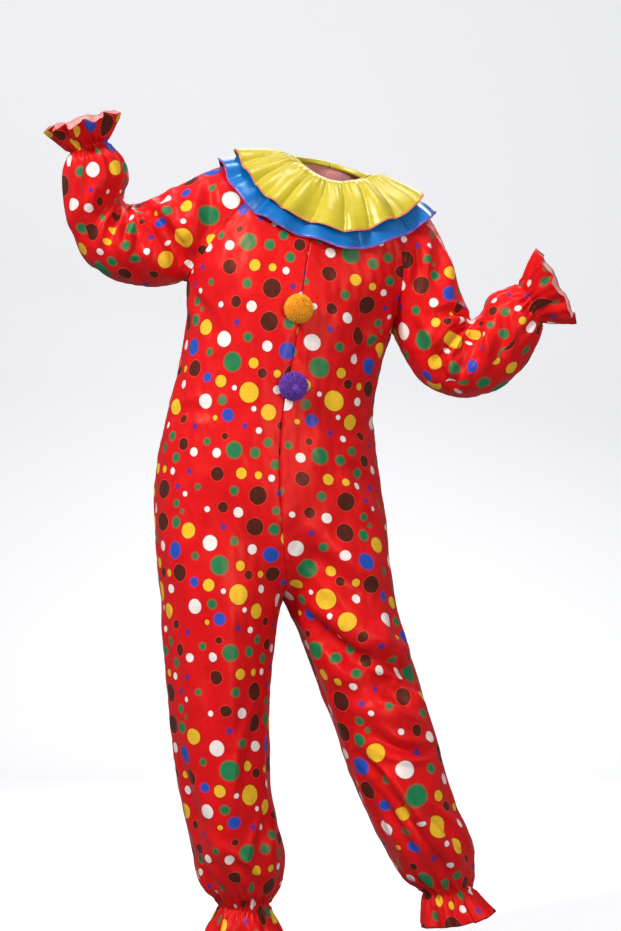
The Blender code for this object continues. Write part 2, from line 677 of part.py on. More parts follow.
def lap_grids(back_right, back_left, normals):
    """Outer and inner grids of the strip that laps over the centre-back slit."""
    rows = [row for row in range(1, len(back_right)) if back_right[row, 0, 2] > LAP_END_Z]
    outer, inner = [], []
    for row in rows:
        centre = back_right[row, 0]
        points = []
        for panel, normal in ((back_right, normals[0]), (back_left, normals[1])):
            step = panel[row, 1] - centre
            share = LAP_WIDTH / 2 / np.linalg.norm(step)
            way = unit(normal[row, 0] * (1 - share) + normal[row, 1] * share)
            points.append((centre + step * share, way))
        points.insert(1, (centre, normals[0][row, 0]))
        inner.append([point + way * LAP_LIFT for point, way in points])
        outer.append([point + way * (LAP_LIFT + CLOTH) for point, way in points])
    return np.array(outer), np.array(inner)


def pompom(spec, tree, collection):
    """A domed disc of yarn, just clear of the front seam."""
    seat, facing = Vector(), Vector()
    for offset in (-spec.radius / 2, spec.radius / 2):
        start = Vector((spec.x + offset, -1.0, spec.z))
        hit, normal, _, _ = tree.ray_cast(start, Vector((0, 1, 0)))
        seat += hit / 2
        facing += normal if normal.y < 0 else -normal
    seat = Vector((spec.x, seat.y, spec.z))
    facing.normalize()
    shape = bmesh.new()
    bmesh.ops.create_uvsphere(shape, u_segments=16, v_segments=8, radius=spec.radius)
    bmesh.ops.scale(shape, vec=(1, 1, spec.dome / spec.radius), verts=shape.verts)
    turn = facing.to_track_quat("Z", "Y").to_matrix()
    bmesh.ops.rotate(shape, matrix=turn, verts=shape.verts)
    centre = seat + facing * (spec.dome + POMPOM_GAP)
    bmesh.ops.translate(shape, vec=centre, verts=shape.verts)
    bmesh.ops.triangulate(shape, faces=shape.faces)
    finish_piece(spec.node, shape, spec.colour, collection, roughness=0.9)


def clear_scene():
    """Removes the startup objects and makes the suit's own collection."""
    for item in list(bpy.data.objects):
        bpy.data.objects.remove(item, do_unlink=True)
    collection = bpy.data.collections.new("clown_jumpsuit")
    bpy.context.scene.collection.children.link(collection)
    return collection


def main():
    collection = clear_scene()
    fronts, backs, sleeves = {}, {}, {}
    for name in SIDES:
        fronts[name], backs[name] = body_half(name)
        sleeves[name] = sleeve_grid(name, fronts[name], backs[name])
    pieces = []
    for name, side in SIDES.items():
        pieces.append(("front_" + name, fronts[name], False, -side))
        pieces.append(("back_" + name, backs[name], False, side))
        pieces.append(("sleeve_" + name, sleeves[name], True, -side))
    grids = relaxed([piece[1:] for piece in pieces], [RUFFLE_ROWS] * len(pieces), RELAX_PASSES)
    normals = shared_normals(grids)
    folded = [
        (grid + normal * fold_shift(grid, normal)[..., None], wraps, flip)
        for (grid, wraps, flip), normal in zip(grids, normals)
    ]
    normals = shared_normals(folded)
    by_name = {}
    left, _ = along(TURN)
    for (name, _, wraps, flip), (grid, _, _), normal in zip(pieces, folded, normals):
        by_name[name] = (grid, normal)
        outer = drawn_back(grid, wraps)
        if not wraps:
            side = SIDES[name.split("_")[1]]
            outer[:, 0] += side * left * SEAM_SETBACK
        wall(name, outer, outer - normal * CLOTH, wraps, flip, RED, collection)
    tree = base_tree(folded)
    for ruffle, under, colour in (
        (BLUE_RUFFLE, None, BLUE),
        (YELLOW_RUFFLE, BLUE_RUFFLE, YELLOW),
    ):
        lower, upper = ruffle_grid(tree, ruffle, under)
        wall(ruffle.node, upper, lower, False, -1, colour, collection)
    outer, inner = binding_grids()
    wall("neck_binding", outer, inner, False, 1, YELLOW, collection)
    back_right, right_normals = by_name["back_right"]
    back_left, left_normals = by_name["back_left"]
    outer, inner = lap_grids(back_right, back_left, (right_normals, left_normals))
    wall("back_lap", outer, inner, False, 1, RED, collection)
    for spec in POMPOMS:
        pompom(spec, tree, collection)


main()
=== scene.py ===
"""Clown jumpsuit in printed satin: four body panels, two raglan sleeves and a double ruffled collar.

Metres, +Z up, the front faces -Y, and the origin is the centre of the neck opening. "Right" and
"left" are the wearer's: right is the -X side, written as side = -1, and left is side = +1.
Every cloth piece is cut flat first, which gives its print, and then lofted through its own table of
sections, gathered at its elastics and creased.
"""

import logging
import math
from collections.abc import Iterator
from contextlib import contextmanager
from dataclasses import dataclass, field, replace
from enum import Enum

import bpy
import numpy as np
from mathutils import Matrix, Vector
from mathutils.bvhtree import BVHTree


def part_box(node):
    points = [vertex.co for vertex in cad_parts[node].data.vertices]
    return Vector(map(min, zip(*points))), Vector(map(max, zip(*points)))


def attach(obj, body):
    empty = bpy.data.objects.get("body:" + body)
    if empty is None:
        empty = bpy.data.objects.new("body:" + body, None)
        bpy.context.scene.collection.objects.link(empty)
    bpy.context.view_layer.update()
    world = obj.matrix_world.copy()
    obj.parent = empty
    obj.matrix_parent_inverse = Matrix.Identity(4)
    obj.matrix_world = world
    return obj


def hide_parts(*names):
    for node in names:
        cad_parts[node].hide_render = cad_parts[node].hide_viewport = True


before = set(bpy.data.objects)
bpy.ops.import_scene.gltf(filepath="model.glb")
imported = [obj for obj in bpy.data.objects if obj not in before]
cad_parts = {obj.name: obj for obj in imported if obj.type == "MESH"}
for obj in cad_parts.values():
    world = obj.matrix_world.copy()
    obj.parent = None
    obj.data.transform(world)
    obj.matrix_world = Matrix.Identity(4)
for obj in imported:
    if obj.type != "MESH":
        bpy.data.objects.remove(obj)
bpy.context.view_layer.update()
LOG = logging.getLogger("jumpsuit")

# Cloth and seams
CLOTH = 0.0009              # thickness of the satin
SEAM_SETBACK = 0.00012      # each piece stops this far from its seam line
SEAM_DIP = 0.0005           # how deep the cloth rolls in at a seam, and how near to it
SEAM_ROLL = 0.0030
SEAM_PUCKER = 0.0004        # height of the puckers beside a seam, and how far from it
PUCKER_GAP = 0.006
SLEEVE_SEAM_RADIUS = 0.0007
SLEEVE_SEAM_SINK = 0.00035
HEM_EDGE = 0.0022           # how far the overlocked edge shows at a wrist or ankle
RUMPLES = ((0.048, 0.0015, 3), (0.021, 0.0006, 5))  # wavelength, height and seed
CALM_REACH = 0.016          # no fold comes nearer than this to a raglan seam or the neck
PANEL_COLUMNS = 9           # sections' own columns across a front or a back
RAGLAN_ROWS = 7             # and their rows down a raglan seam
NECK_COLUMNS = 6
RUFFLE_ROWS = 6             # rows at the foot of a piece that easing leaves in place
RELAX_PASSES = 2
ELASTIC_STATION = -4        # the elastic's place in a piece's stations
COLUMN_SPLIT = 8            # finer columns in each column of a panel or a sleeve
RAGLAN_SPLIT = 9
FINE_STEP = 0.0036          # spacing of the finer rows
PANEL_STRAIGHT = (RAGLAN_ROWS, RAGLAN_ROWS + 7)  # rows whose first column runs down the print
SLEEVE_STRAIGHT = (1, 5)
SLEEVE_ZERO_Z = -0.2
SIDES = {"right": -1, "left": 1}

# Neckline: a level oval, dipped at the front and leaning with the shoulders
NECK_X = -0.004
NECK_HALF_WIDTH = 0.070
NECK_HALF_DEPTH = 0.060
NECK_FRONT_Z = -0.026
NECK_SIDE_Z = 0.008
NECK_BACK_Z = 0.020
NECK_LEAN = 0.246
RAGLAN_FRONT = math.radians(42)
RAGLAN_BACK = math.radians(140)
NECK_SETBACK = 0.003

# The body is turned a little, with its front towards +X
TURN = math.radians(10)
CROTCH = np.array([-0.0884, 0.0, -0.740])
RISE_TOP_Z = -0.630
RISE_ROWS = 5
THIGH_TOP_Z = -0.540
SEAM_REACH = 0.10
LEG_TOP_FRONT = 0.116
LEG_TOP_BACK = 0.130


@dataclass(frozen=True)
class Section:
    """A section of the body or a leg: middle, half-sizes, fall towards +X and rows above it."""

    name: str
    x: float
    y: float
    z: float
    half_width: float
    front: float
    back: float
    fall: float
    rows: int

    def numbers(self) -> list[float]:
        """The sizes that are read between one section and the next."""
        return [self.x, self.y, self.z, self.half_width, self.front, self.back, self.fall]


@dataclass(frozen=True)
class SleeveSection:
    """A ring of a sleeve: its top and bottom in the XZ plane, and the seam's twist in degrees."""

    name: str
    top_x: float
    top_z: float
    bottom_x: float
    bottom_z: float
    y: float
    half_depth: float
    lean: float
    rows: int
    twist: float


TORSO = (
    Section("chest", -0.078, 0.000, -0.2405, 0.1815, 0.130, 0.120, 0.253, 0),
    Section("ribs", -0.084, 0.000, -0.297, 0.1720, 0.127, 0.115, 0.215, 2),
    Section("waist", -0.106, 0.000, -0.412, 0.1780, 0.121, 0.112, 0.133, 3),
    Section("belly", -0.113, 0.000, -0.513, 0.1970, 0.125, 0.126, 0.066, 2),
    Section("hip", -0.110, 0.003, -0.604, 0.2060, 0.130, 0.145, 0.045, 2),
    Section("seat", -0.097, 0.000, -0.740, 0.2080, 0.120, 0.140, 0.020, 0),
)
LEGS = {
    "right": (
        Section("thigh", -0.2000, -0.020, -0.8365, 0.0985, 0.110, 0.116, 0.00, 2),
        Section("knee", -0.1980, -0.026, -0.9590, 0.0875, 0.098, 0.102, 0.00, 2),
        Section("shin", -0.1893, -0.016, -1.0815, 0.0815, 0.092, 0.098, 0.00, 2),
        Section("calf", -0.1645, -0.004, -1.1920, 0.0797, 0.086, 0.092, 0.00, 2),
        Section("puff", -0.1610, 0.004, -1.2495, 0.0665, 0.067, 0.070, 0.00, 1),
        Section("elastic", -0.1566, 0.008, -1.2830, 0.0446, 0.045, 0.046, 0.00, 1),
        Section("flare", -0.1572, 0.008, -1.3060, 0.0540, 0.054, 0.055, 0.00, 1),
        Section("hem", -0.1575, 0.008, -1.3500, 0.0690, 0.068, 0.068, 0.00, 2),
    ),
    "left": (
        Section("thigh", 0.0420, 0.012, -0.8365, 0.0935, 0.108, 0.114, 0.02, 2),
        Section("knee", 0.0965, 0.002, -0.9940, 0.0900, 0.098, 0.102, 0.04, 3),
        Section("shin", 0.1280, 0.006, -1.0990, 0.0850, 0.092, 0.098, 0.02, 2),
        Section("calf", 0.1700, 0.014, -1.1865, 0.0780, 0.084, 0.088, 0.00, 1),
        Section("puff", 0.1850, 0.018, -1.2320, 0.0630, 0.064, 0.066, -0.04, 1),
        Section("elastic", 0.2020, 0.020, -1.2600, 0.0446, 0.045, 0.046, -0.08, 1),
        Section("flare", 0.2083, 0.020, -1.2800, 0.0530, 0.052, 0.053, -0.12, 1),
        Section("hem", 0.2188, 0.020, -1.3110, 0.0630, 0.062, 0.062, -0.18, 2),
    ),
}

# Points of the centre seams and of the raglan seams, from the neck down to the chest
Point = tuple[float, float, float]
CENTRE_FRONT: tuple[Point, ...] = ((-0.026, -0.086, -0.062), (-0.042, -0.112, -0.1435))
CENTRE_BACK: tuple[Point, ...] = ((-0.040, 0.088, -0.035), (-0.080, 0.113, -0.130))
RAGLANS: dict[tuple[str, str], tuple[Point, ...]] = {
    ("right", "front"): (
        (-0.106, -0.072, -0.028), (-0.1645, -0.085, -0.0718),
        (-0.2065, -0.084, -0.1260), (-0.2440, -0.066, -0.1760),
    ),
    ("right", "back"): (
        (-0.106, 0.070, -0.006), (-0.1645, 0.080, -0.0600),
        (-0.2100, 0.072, -0.1180), (-0.2470, 0.030, -0.1740),
    ),
    ("left", "front"): (
        (0.085, -0.074, -0.0650), (0.119, -0.084, -0.1210),
        (0.124, -0.074, -0.1680), (0.114, -0.036, -0.2350),
    ),
    ("left", "back"): (
        (0.085, 0.072, -0.0300), (0.118, 0.087, -0.0900),
        (0.130, 0.088, -0.1500), (0.120, 0.070, -0.2250),
    ),
}
SLEEVES = {
    "right": (
        SleeveSection("shoulder", -0.205, 0.008, -0.288, -0.202, -0.006, 0.084, 0.000, 3, 0),
        SleeveSection("arm", -0.288, -0.032, -0.330, -0.204, -0.008, 0.080, 0.000, 2, 8),
        SleeveSection("bend", -0.345, -0.062, -0.385, -0.192, -0.012, 0.072, 0.000, 2, 25),
        SleeveSection("elbow", -0.369, -0.051, -0.436, -0.171, -0.019, 0.067, 0.000, 1, 50),
        SleeveSection("crook", -0.362, -0.034, -0.461, -0.111, -0.030, 0.063, 0.000, 1, 62),
        SleeveSection("forearm", -0.354, -0.012, -0.468, -0.030, -0.042, 0.060, 0.000, 1, 72),
        SleeveSection("puff", -0.362, 0.015, -0.461, 0.008, -0.050, 0.053, 0.000, 1, 75),
        SleeveSection("elastic", -0.3885, 0.0445, -0.4545, 0.0245, -0.058, 0.034, 0.003, 1, 76),
        SleeveSection("flare", -0.380, 0.064, -0.476, 0.044, -0.064, 0.048, 0.008, 1, 76),
        SleeveSection("rim", -0.371, 0.095, -0.493, 0.064, -0.073, 0.062, 0.016, 2, 78),
    ),
    "left": (
        SleeveSection("shoulder", 0.180, -0.086, 0.118, -0.316, 0.012, 0.085, 0.000, 3, 0),
        SleeveSection("arm", 0.203, -0.140, 0.130, -0.338, 0.008, 0.082, 0.000, 1, 5),
        SleeveSection("bend", 0.222, -0.201, 0.148, -0.365, 0.000, 0.079, 0.000, 1, 12),
        SleeveSection("elbow", 0.238, -0.242, 0.172, -0.391, -0.008, 0.075, 0.000, 1, 30),
        SleeveSection("crook", 0.243, -0.262, 0.230, -0.408, -0.016, 0.071, 0.000, 1, 62),
        SleeveSection("forearm", 0.258, -0.246, 0.287, -0.391, -0.025, 0.066, 0.000, 1, 75),
        SleeveSection("lower", 0.271, -0.221, 0.324, -0.348, -0.033, 0.061, 0.000, 1, 74),
        SleeveSection("puff", 0.296, -0.206, 0.352, -0.304, -0.042, 0.051, 0.000, 1, 70),
        SleeveSection("elastic", 0.319, -0.1995, 0.362, -0.268, -0.050, 0.036, 0.002, 1, 66),
        SleeveSection("flare", 0.332, -0.174, 0.382, -0.266, -0.055, 0.047, 0.006, 1, 66),
        SleeveSection("rim", 0.3535, -0.143, 0.418, -0.2625, -0.062, 0.060, 0.012, 2, 66),
    ),
}
FULL_LEG = 3                # the last leg section whose cloth isn't gathered
FULL_SLEEVE = {"right": 5, "left": 6}


@dataclass(frozen=True)
class Crease:
    """A soft trough (depth below 0) or ridge along a line in the XZ plane, on the front or the back."""

    zone: str
    face: int
    line: tuple[tuple[float, float], ...]
    half_width: float
    depth: float


FOLD_STRENGTH = {"arm": 1.9, "leg": 2.0, "body": 1.4}
CREASE_STEPS = 12
CREASE_HEAP = 0.38          # the heap beside a trough: its height against the trough's depth
CREASE_HEAP_AT = 1.75       # and its distance in half-widths
FRONT, BACK = -1, 1


def folded(*groups: tuple) -> tuple[Crease, ...]:
    """Creases from groups of (zone, face, rows): a line, a half-width and a depth in millimetres."""
    return tuple(
        Crease(zone, face, tuple((x / 1000, z / 1000) for x, z in line), half_width / 1000, depth / 1000)
        for zone, face, rows in groups
        for line, half_width, depth in rows
    )


# The largest folds, which the solids have too
BIG_FOLDS = folded(
    ("leg", FRONT, (
        (((-30, -800), (120, -880)), 27, -8),
        (((20, -900), (150, -890)), 24, -8),
        (((95, -1020), (180, -1200)), 24, 6),
    )),
    ("body", FRONT, (
        (((55, -230), (60, -320)), 27, -6),
    )),
    ("leg", FRONT, (
        (((-165, -1000), (-190, -1200)), 27, 6),
    )),
    ("arm", FRONT, (
        (((-255, -170), (-330, -90)), 24, -7),
        (((240, -265), (190, -350)), 24, -8),
        (((-370, -50), (-420, -140)), 24, -8),
    )),
    ("leg", BACK, (
        (((-180, -720), (-60, -770)), 28, -7),
        (((30, -930), (150, -950)), 27, -8),
        (((-270, -950), (-130, -960)), 27, -8),
    )),
    ("body", BACK, (
        (((-200, -430), (-20, -440)), 31, -6),
    )),
)

# Creases of each zone, listed one by one
CREASES = folded(
    # bent right arm: the fold from the crook to the armpit, and the fan at the elbow
    ("arm", FRONT, (
        (((-333, -68), (-299, -96), (-271, -140), (-256, -182)), 12, -7),
        (((-320, -56), (-282, -82), (-250, -130)), 11, 4.5),
        (((-359, -60), (-352, -88), (-359, -119), (-353, -150)), 7, -5.5),
        (((-341, -73), (-338, -110), (-345, -161)), 8, -4.5),
        (((-376, -65), (-390, -91), (-404, -137)), 8, 4),
        (((-366, -58), (-378, -98), (-387, -147)), 7, -4),
        (((-292, -35), (-303, -91)), 10, -3.5),
        (((-212, -18), (-213, -70), (-205, -120)), 12, -4.5),
        (((-231, -11), (-236, -67), (-228, -128)), 12, 3.5),
        (((-320, -116), (-336, -158), (-327, -198)), 10, -3.5),
        (((-420, -20), (-428, -60), (-424, -95)), 10, -3.5),
        (((-262, -20), (-270, -70), (-264, -120)), 11, -3),
    )),
    # left arm: shoulder, armhole and the fan from the elbow
    ("arm", FRONT, (
        (((177, -116), (178, -158), (172, -207)), 10, -5),
        (((198, -150), (200, -198), (194, -233)), 11, 3.5),
        (((143, -133), (148, -172), (140, -221)), 10, -4.5),
        (((243, -261), (208, -248), (170, -257)), 7, -5.5),
        (((240, -266), (213, -278), (193, -304), (177, -331)), 7, -6.5),
        (((247, -277), (217, -299), (203, -340), (215, -364)), 8, 5.5),
        (((247, -271), (240, -303), (226, -340), (208, -371)), 7, -5.5),
        (((254, -270), (250, -303), (243, -347)), 7, -5),
        (((270, -263), (264, -297), (259, -333)), 9, 3.5),
        (((170, -303), (187, -350), (208, -385)), 9, -4),
        (((130, -255), (144, -290), (159, -330)), 10, -4),
        (((290, -250), (292, -290), (284, -330)), 9, -3.5),
    )),
    # left leg: the knee, and the long folds down the shin
    ("leg", FRONT, (
        (((142, -882), (110, -861), (61, -837)), 10, -7),
        (((135, -837), (103, -819), (54, -798)), 11, 4.5),
        (((159, -945), (124, -919), (82, -899)), 9, -5.5),
        (((177, -1004), (135, -1003), (96, -992), (58, -966)), 10, -6),
        (((44, -1008), (91, -1059), (130, -1120), (172, -1183), (198, -1238)), 10, -6.5),
        (((68, -1012), (114, -1068), (152, -1131), (187, -1187)), 10, 5.5),
        (((75, -1060), (107, -1125), (135, -1173), (163, -1225)), 9, -5.5),
        (((159, -1099), (215, -1159), (247, -1201)), 9, -4.5),
        (((-52, -606), (12, -656), (79, -711)), 18, 4),
        (((-58, -653), (9, -705), (82, -760)), 17, -4),
    )),
    ("body", FRONT, (
        (((2, -525), (68, -595), (100, -634)), 14, 4.5),
        (((21, -508), (82, -574)), 12, -3.5),
    )),
    ("leg", FRONT, (
        (((-65, -756), (4, -819), (68, -875)), 14, -5),
        (((-26, -749), (33, -805), (96, -840)), 14, 4.5),
        (((96, -770), (117, -830)), 10, -3.5),
    )),
    # right leg: mostly smooth, with a few long soft folds and more above the ankle
    ("leg", FRONT, (
        (((-224, -767), (-212, -889), (-208, -1003)), 17, -4),
        (((-177, -749), (-170, -889), (-177, -1029)), 18, 3.5),
        (((-122, -924), (-142, -998), (-147, -1085)), 12, -4),
        (((-264, -994), (-247, -1082), (-222, -1160)), 12, -4),
        (((-187, -1173), (-145, -1218), (-121, -1250)), 9, -5),
        (((-222, -1137), (-166, -1197), (-135, -1239)), 10, 4.5),
        (((-108, -1099), (-124, -1165), (-131, -1218)), 10, -4),
        (((-240, -1179), (-215, -1225), (-194, -1260)), 9, -4),
    )),
    # body: armpits, sides of the waist, and the seam between the pompoms
    ("body", FRONT, (
        (((58, -251), (51, -285), (58, -322)), 13, -4),
        (((90, -295), (64, -310), (30, -345)), 10, -4),
        (((-240, -222), (-220, -250), (-206, -296)), 11, -4),
        (((-285, -434), (-250, -420), (-205, -423)), 11, -2.8),
        (((72, -434), (40, -452), (2, -448)), 12, -2.8),
        (((-58, -273), (-63, -311), (-68, -353)), 10, -1.8),
    )),
    # the back and the backs of the arms and legs
    ("arm", BACK, (
        (((-333, -60), (-296, -100), (-262, -160)), 12, -6),
        (((-350, -85), (-338, -125), (-345, -165)), 9, -4.5),
        (((-380, -60), (-396, -100), (-404, -140)), 9, 4),
        (((-232, -20), (-236, -78), (-226, -130)), 13, -4),
        (((170, -120), (180, -175), (172, -225)), 12, -4.5),
        (((240, -262), (212, -290), (180, -330)), 9, -6),
        (((250, -270), (238, -315), (212, -368)), 9, -4.5),
        (((272, -262), (266, -305), (262, -340)), 10, 3.5),
    )),
    ("body", BACK, (
        (((-200, -235), (-180, -290), (-186, -350)), 15, -4.5),
        (((40, -240), (16, -300), (22, -365)), 14, -4.5),
        (((-225, -470), (-140, -500), (-40, -480)), 17, 4),
        (((-10, -395), (30, -420), (64, -460)), 13, -3.5),
    )),
    ("leg", BACK, (
        (((-85, -640), (-150, -690), (-235, -720)), 17, -4.5),
        (((-60, -650), (10, -695), (75, -725)), 17, -4.5),
        (((-110, -800), (-185, -840), (-265, -850)), 16, 4),
        (((-10, -800), (40, -850), (120, -870)), 16, -4.5),
        (((40, -985), (90, -1030), (160, -1040)), 12, -5),
        (((65, -1060), (110, -1130), (160, -1200)), 11, -5.5),
        (((120, -1060), (165, -1120), (215, -1180)), 11, 4.5),
        (((-250, -1020), (-215, -1100), (-190, -1200)), 13, -5),
        (((-160, -1000), (-150, -1100), (-150, -1205)), 13, -4),
    )),
)

# The print's repeat, in millimetres: how far across, how far down, and the dot's radius
REPEAT_WIDTH = 190.0
REPEAT_LENGTH = 348.0
PRINT_TOP_Z = -0.399        # where a repeat starts on the centre-front seam


@dataclass(frozen=True)
class Lay:
    """How a piece was laid on the print: its place in metres, and its slant and ease."""

    across: float
    down: float
    slant: float = 0.052        # drift across, for each metre down
    fall: float = 0.0           # drift down, for each metre across
    ease_across: float = 1.0
    ease_down: float = 1.0

    def placed(self, flat: np.ndarray) -> np.ndarray:
        """The flat piece's points as places on the print."""
        across = self.ease_across * flat[..., 0] + self.slant * flat[..., 1] + self.across
        down = self.fall * flat[..., 0] + self.ease_down * flat[..., 1] + self.down
        return np.stack([across, down], axis=-1)


LAYS = {
    "front_right": Lay(-0.0083, 0.0026, -0.0669, 0.0524, 1.0745, 0.9967),
    "front_left": Lay(0.0321, 0.0098, -0.0055, -0.0700, 0.9132, 0.9800),
    "back_right": Lay(0.071, 0.120),
    "back_left": Lay(0.113, 0.205),
    "sleeve_right": Lay(0.025, 0.066),
    "sleeve_left": Lay(0.140, 0.168),
}


class Ink(Enum):
    """The inks of the dot print, from the lowest to the topmost."""

    BROWN = "brown"
    PURPLE = "purple"
    GREEN = "green"
    BLUE = "blue"
    WHITE = "white"
    YELLOW = "yellow"


Dot = tuple[float, float, float]
DOT_CHART: dict[Ink, tuple[Dot, ...]] = {
    Ink.BROWN: (
        (178, 50, 7.5), (77, 75, 6), (186, 93, 10.5), (68, 139, 12), (145, 170, 16),
        (82, 195, 9.5), (144, 225, 16), (1, 310, 14.5), (137, 312, 8.5),
    ),
    Ink.PURPLE: (
        (112, 55, 5), (17, 62, 5), (13, 138, 5), (182, 164, 5), (85, 229, 5.5),
    ),
    Ink.GREEN: (
        (66, 14, 8.5), (156, 80, 8), (44, 86, 6.5), (96, 97, 14.5), (134, 99, 9),
        (172, 116, 8.5), (33, 163, 5.5), (101, 165, 8), (180, 193, 7), (3, 206, 4),
        (180, 225, 10), (107, 253, 8), (33, 281, 6.5), (80, 296, 17),
    ),
    Ink.BLUE: (
        (79, 39, 11), (180, 272, 15), (32, 325, 8.5),
    ),
    Ink.WHITE: (
        (33, 18, 13), (126, 25, 5), (138, 61, 6), (64, 104, 8.5), (20, 105, 8), (167, 139, 6.5),
        (8, 176, 5), (53, 200, 5.5), (111, 202, 9.5), (61, 258, 14), (143, 266, 9.5),
        (166, 338, 8), (87, 340, 5),
    ),
    Ink.YELLOW: (
        (153, 29, 14), (55, 45, 5), (112, 135, 10), (143, 136, 7), (18, 238, 14),
        (120, 296, 9.5), (164, 311, 7), (60, 330, 11), (115, 346, 18),
    ),
}


def unit(vectors: np.ndarray) -> np.ndarray:
    """The vectors at length one."""
    return vectors / np.maximum(np.linalg.norm(vectors, axis=-1, keepdims=True), 1e-12)


def eased(value: np.ndarray, start: float, end: float) -> np.ndarray:
    """0 before start, 1 after end, and an eased step between them."""
    share = np.clip((value - start) / (end - start), 0, 1)
    return share * share * (3 - 2 * share)


def along(turn: float) -> tuple[np.ndarray, np.ndarray]:
    """The wearer's left and the way the front faces, level, for a body turned by this angle."""
    left = np.array([math.cos(turn), math.sin(turn), 0.0])
    front = np.array([math.sin(turn), -math.cos(turn), 0.0])
    return left, front


def smooth(points: np.ndarray, stations: np.ndarray, at: np.ndarray) -> np.ndarray:
    """Reads a cubic curve through points.

    Args:
        points: points or rows of points, one for each station.
        stations: rising places of the points.
        at: the places to read.

    Returns:
        A point or row of points for each place.
    """
    points = np.asarray(points, float)
    stations = np.asarray(stations, float)
    over = (-1, *([1] * (points.ndim - 1)))
    steps = np.diff(stations)
    slopes = np.diff(points, axis=0) / steps.reshape(over)
    tangents = np.concatenate([slopes[:1], slopes[-1:]])
    if len(points) > 2:
        before, after = steps[:-1].reshape(over), steps[1:].reshape(over)
        middle = (slopes[1:] * before + slopes[:-1] * after) / (before + after)
        tangents = np.concatenate([slopes[:1], middle, slopes[-1:]])
    at = np.asarray(at, float)
    span = np.clip(np.searchsorted(stations, at, side="right") - 1, 0, len(steps) - 1)
    u = ((at - stations[span]) / steps[span]).reshape(over)
    run = steps[span].reshape(over)
    return (
        (2 * u**3 - 3 * u**2 + 1) * points[span]
        + (u**3 - 2 * u**2 + u) * tangents[span] * run
        + (3 * u**2 - 2 * u**3) * points[span + 1]
        + (u**3 - u**2) * tangents[span + 1] * run
    )


def stations_of(points: np.ndarray) -> np.ndarray:
    """Distances along a row of points, or the mean distances between rows of points."""
    points = np.asarray(points, float)
    gaps = np.linalg.norm(np.diff(points, axis=0), axis=-1)
    gaps = gaps.reshape(len(gaps), -1).mean(axis=1)
    return np.concatenate([[0.0], np.cumsum(gaps)])


def seam(points: list, count: int) -> np.ndarray:
    """count + 1 points, evenly spaced along a smooth seam."""
    stations = stations_of(points)
    return smooth(points, stations, np.linspace(0, stations[-1], count + 1))


def neck_point(angle: float, side: int) -> np.ndarray:
    """A point of the neckline. The angle is 0 at centre front and pi at centre back."""
    across = side * NECK_HALF_WIDTH * math.sin(angle)
    end = NECK_FRONT_Z if math.cos(angle) > 0 else NECK_BACK_Z
    z = NECK_SIDE_Z * math.sin(angle) ** 2 + end * math.cos(angle) ** 2 - NECK_LEAN * across
    return np.array([NECK_X + across, -NECK_HALF_DEPTH * math.cos(angle), z])


def neckline(angle: float) -> tuple[np.ndarray, np.ndarray]:
    """The neck point at a signed angle, and its level direction outwards."""
    point = neck_point(abs(angle), 1 if angle >= 0 else -1)
    outward = [math.sin(angle) / NECK_HALF_WIDTH, -math.cos(angle) / NECK_HALF_DEPTH, 0.0]
    return point, unit(np.array(outward))


def neck_axis() -> np.ndarray:
    """The way up through the leaning neck opening."""
    return unit(np.array([NECK_LEAN, 0.0, 1.0]))


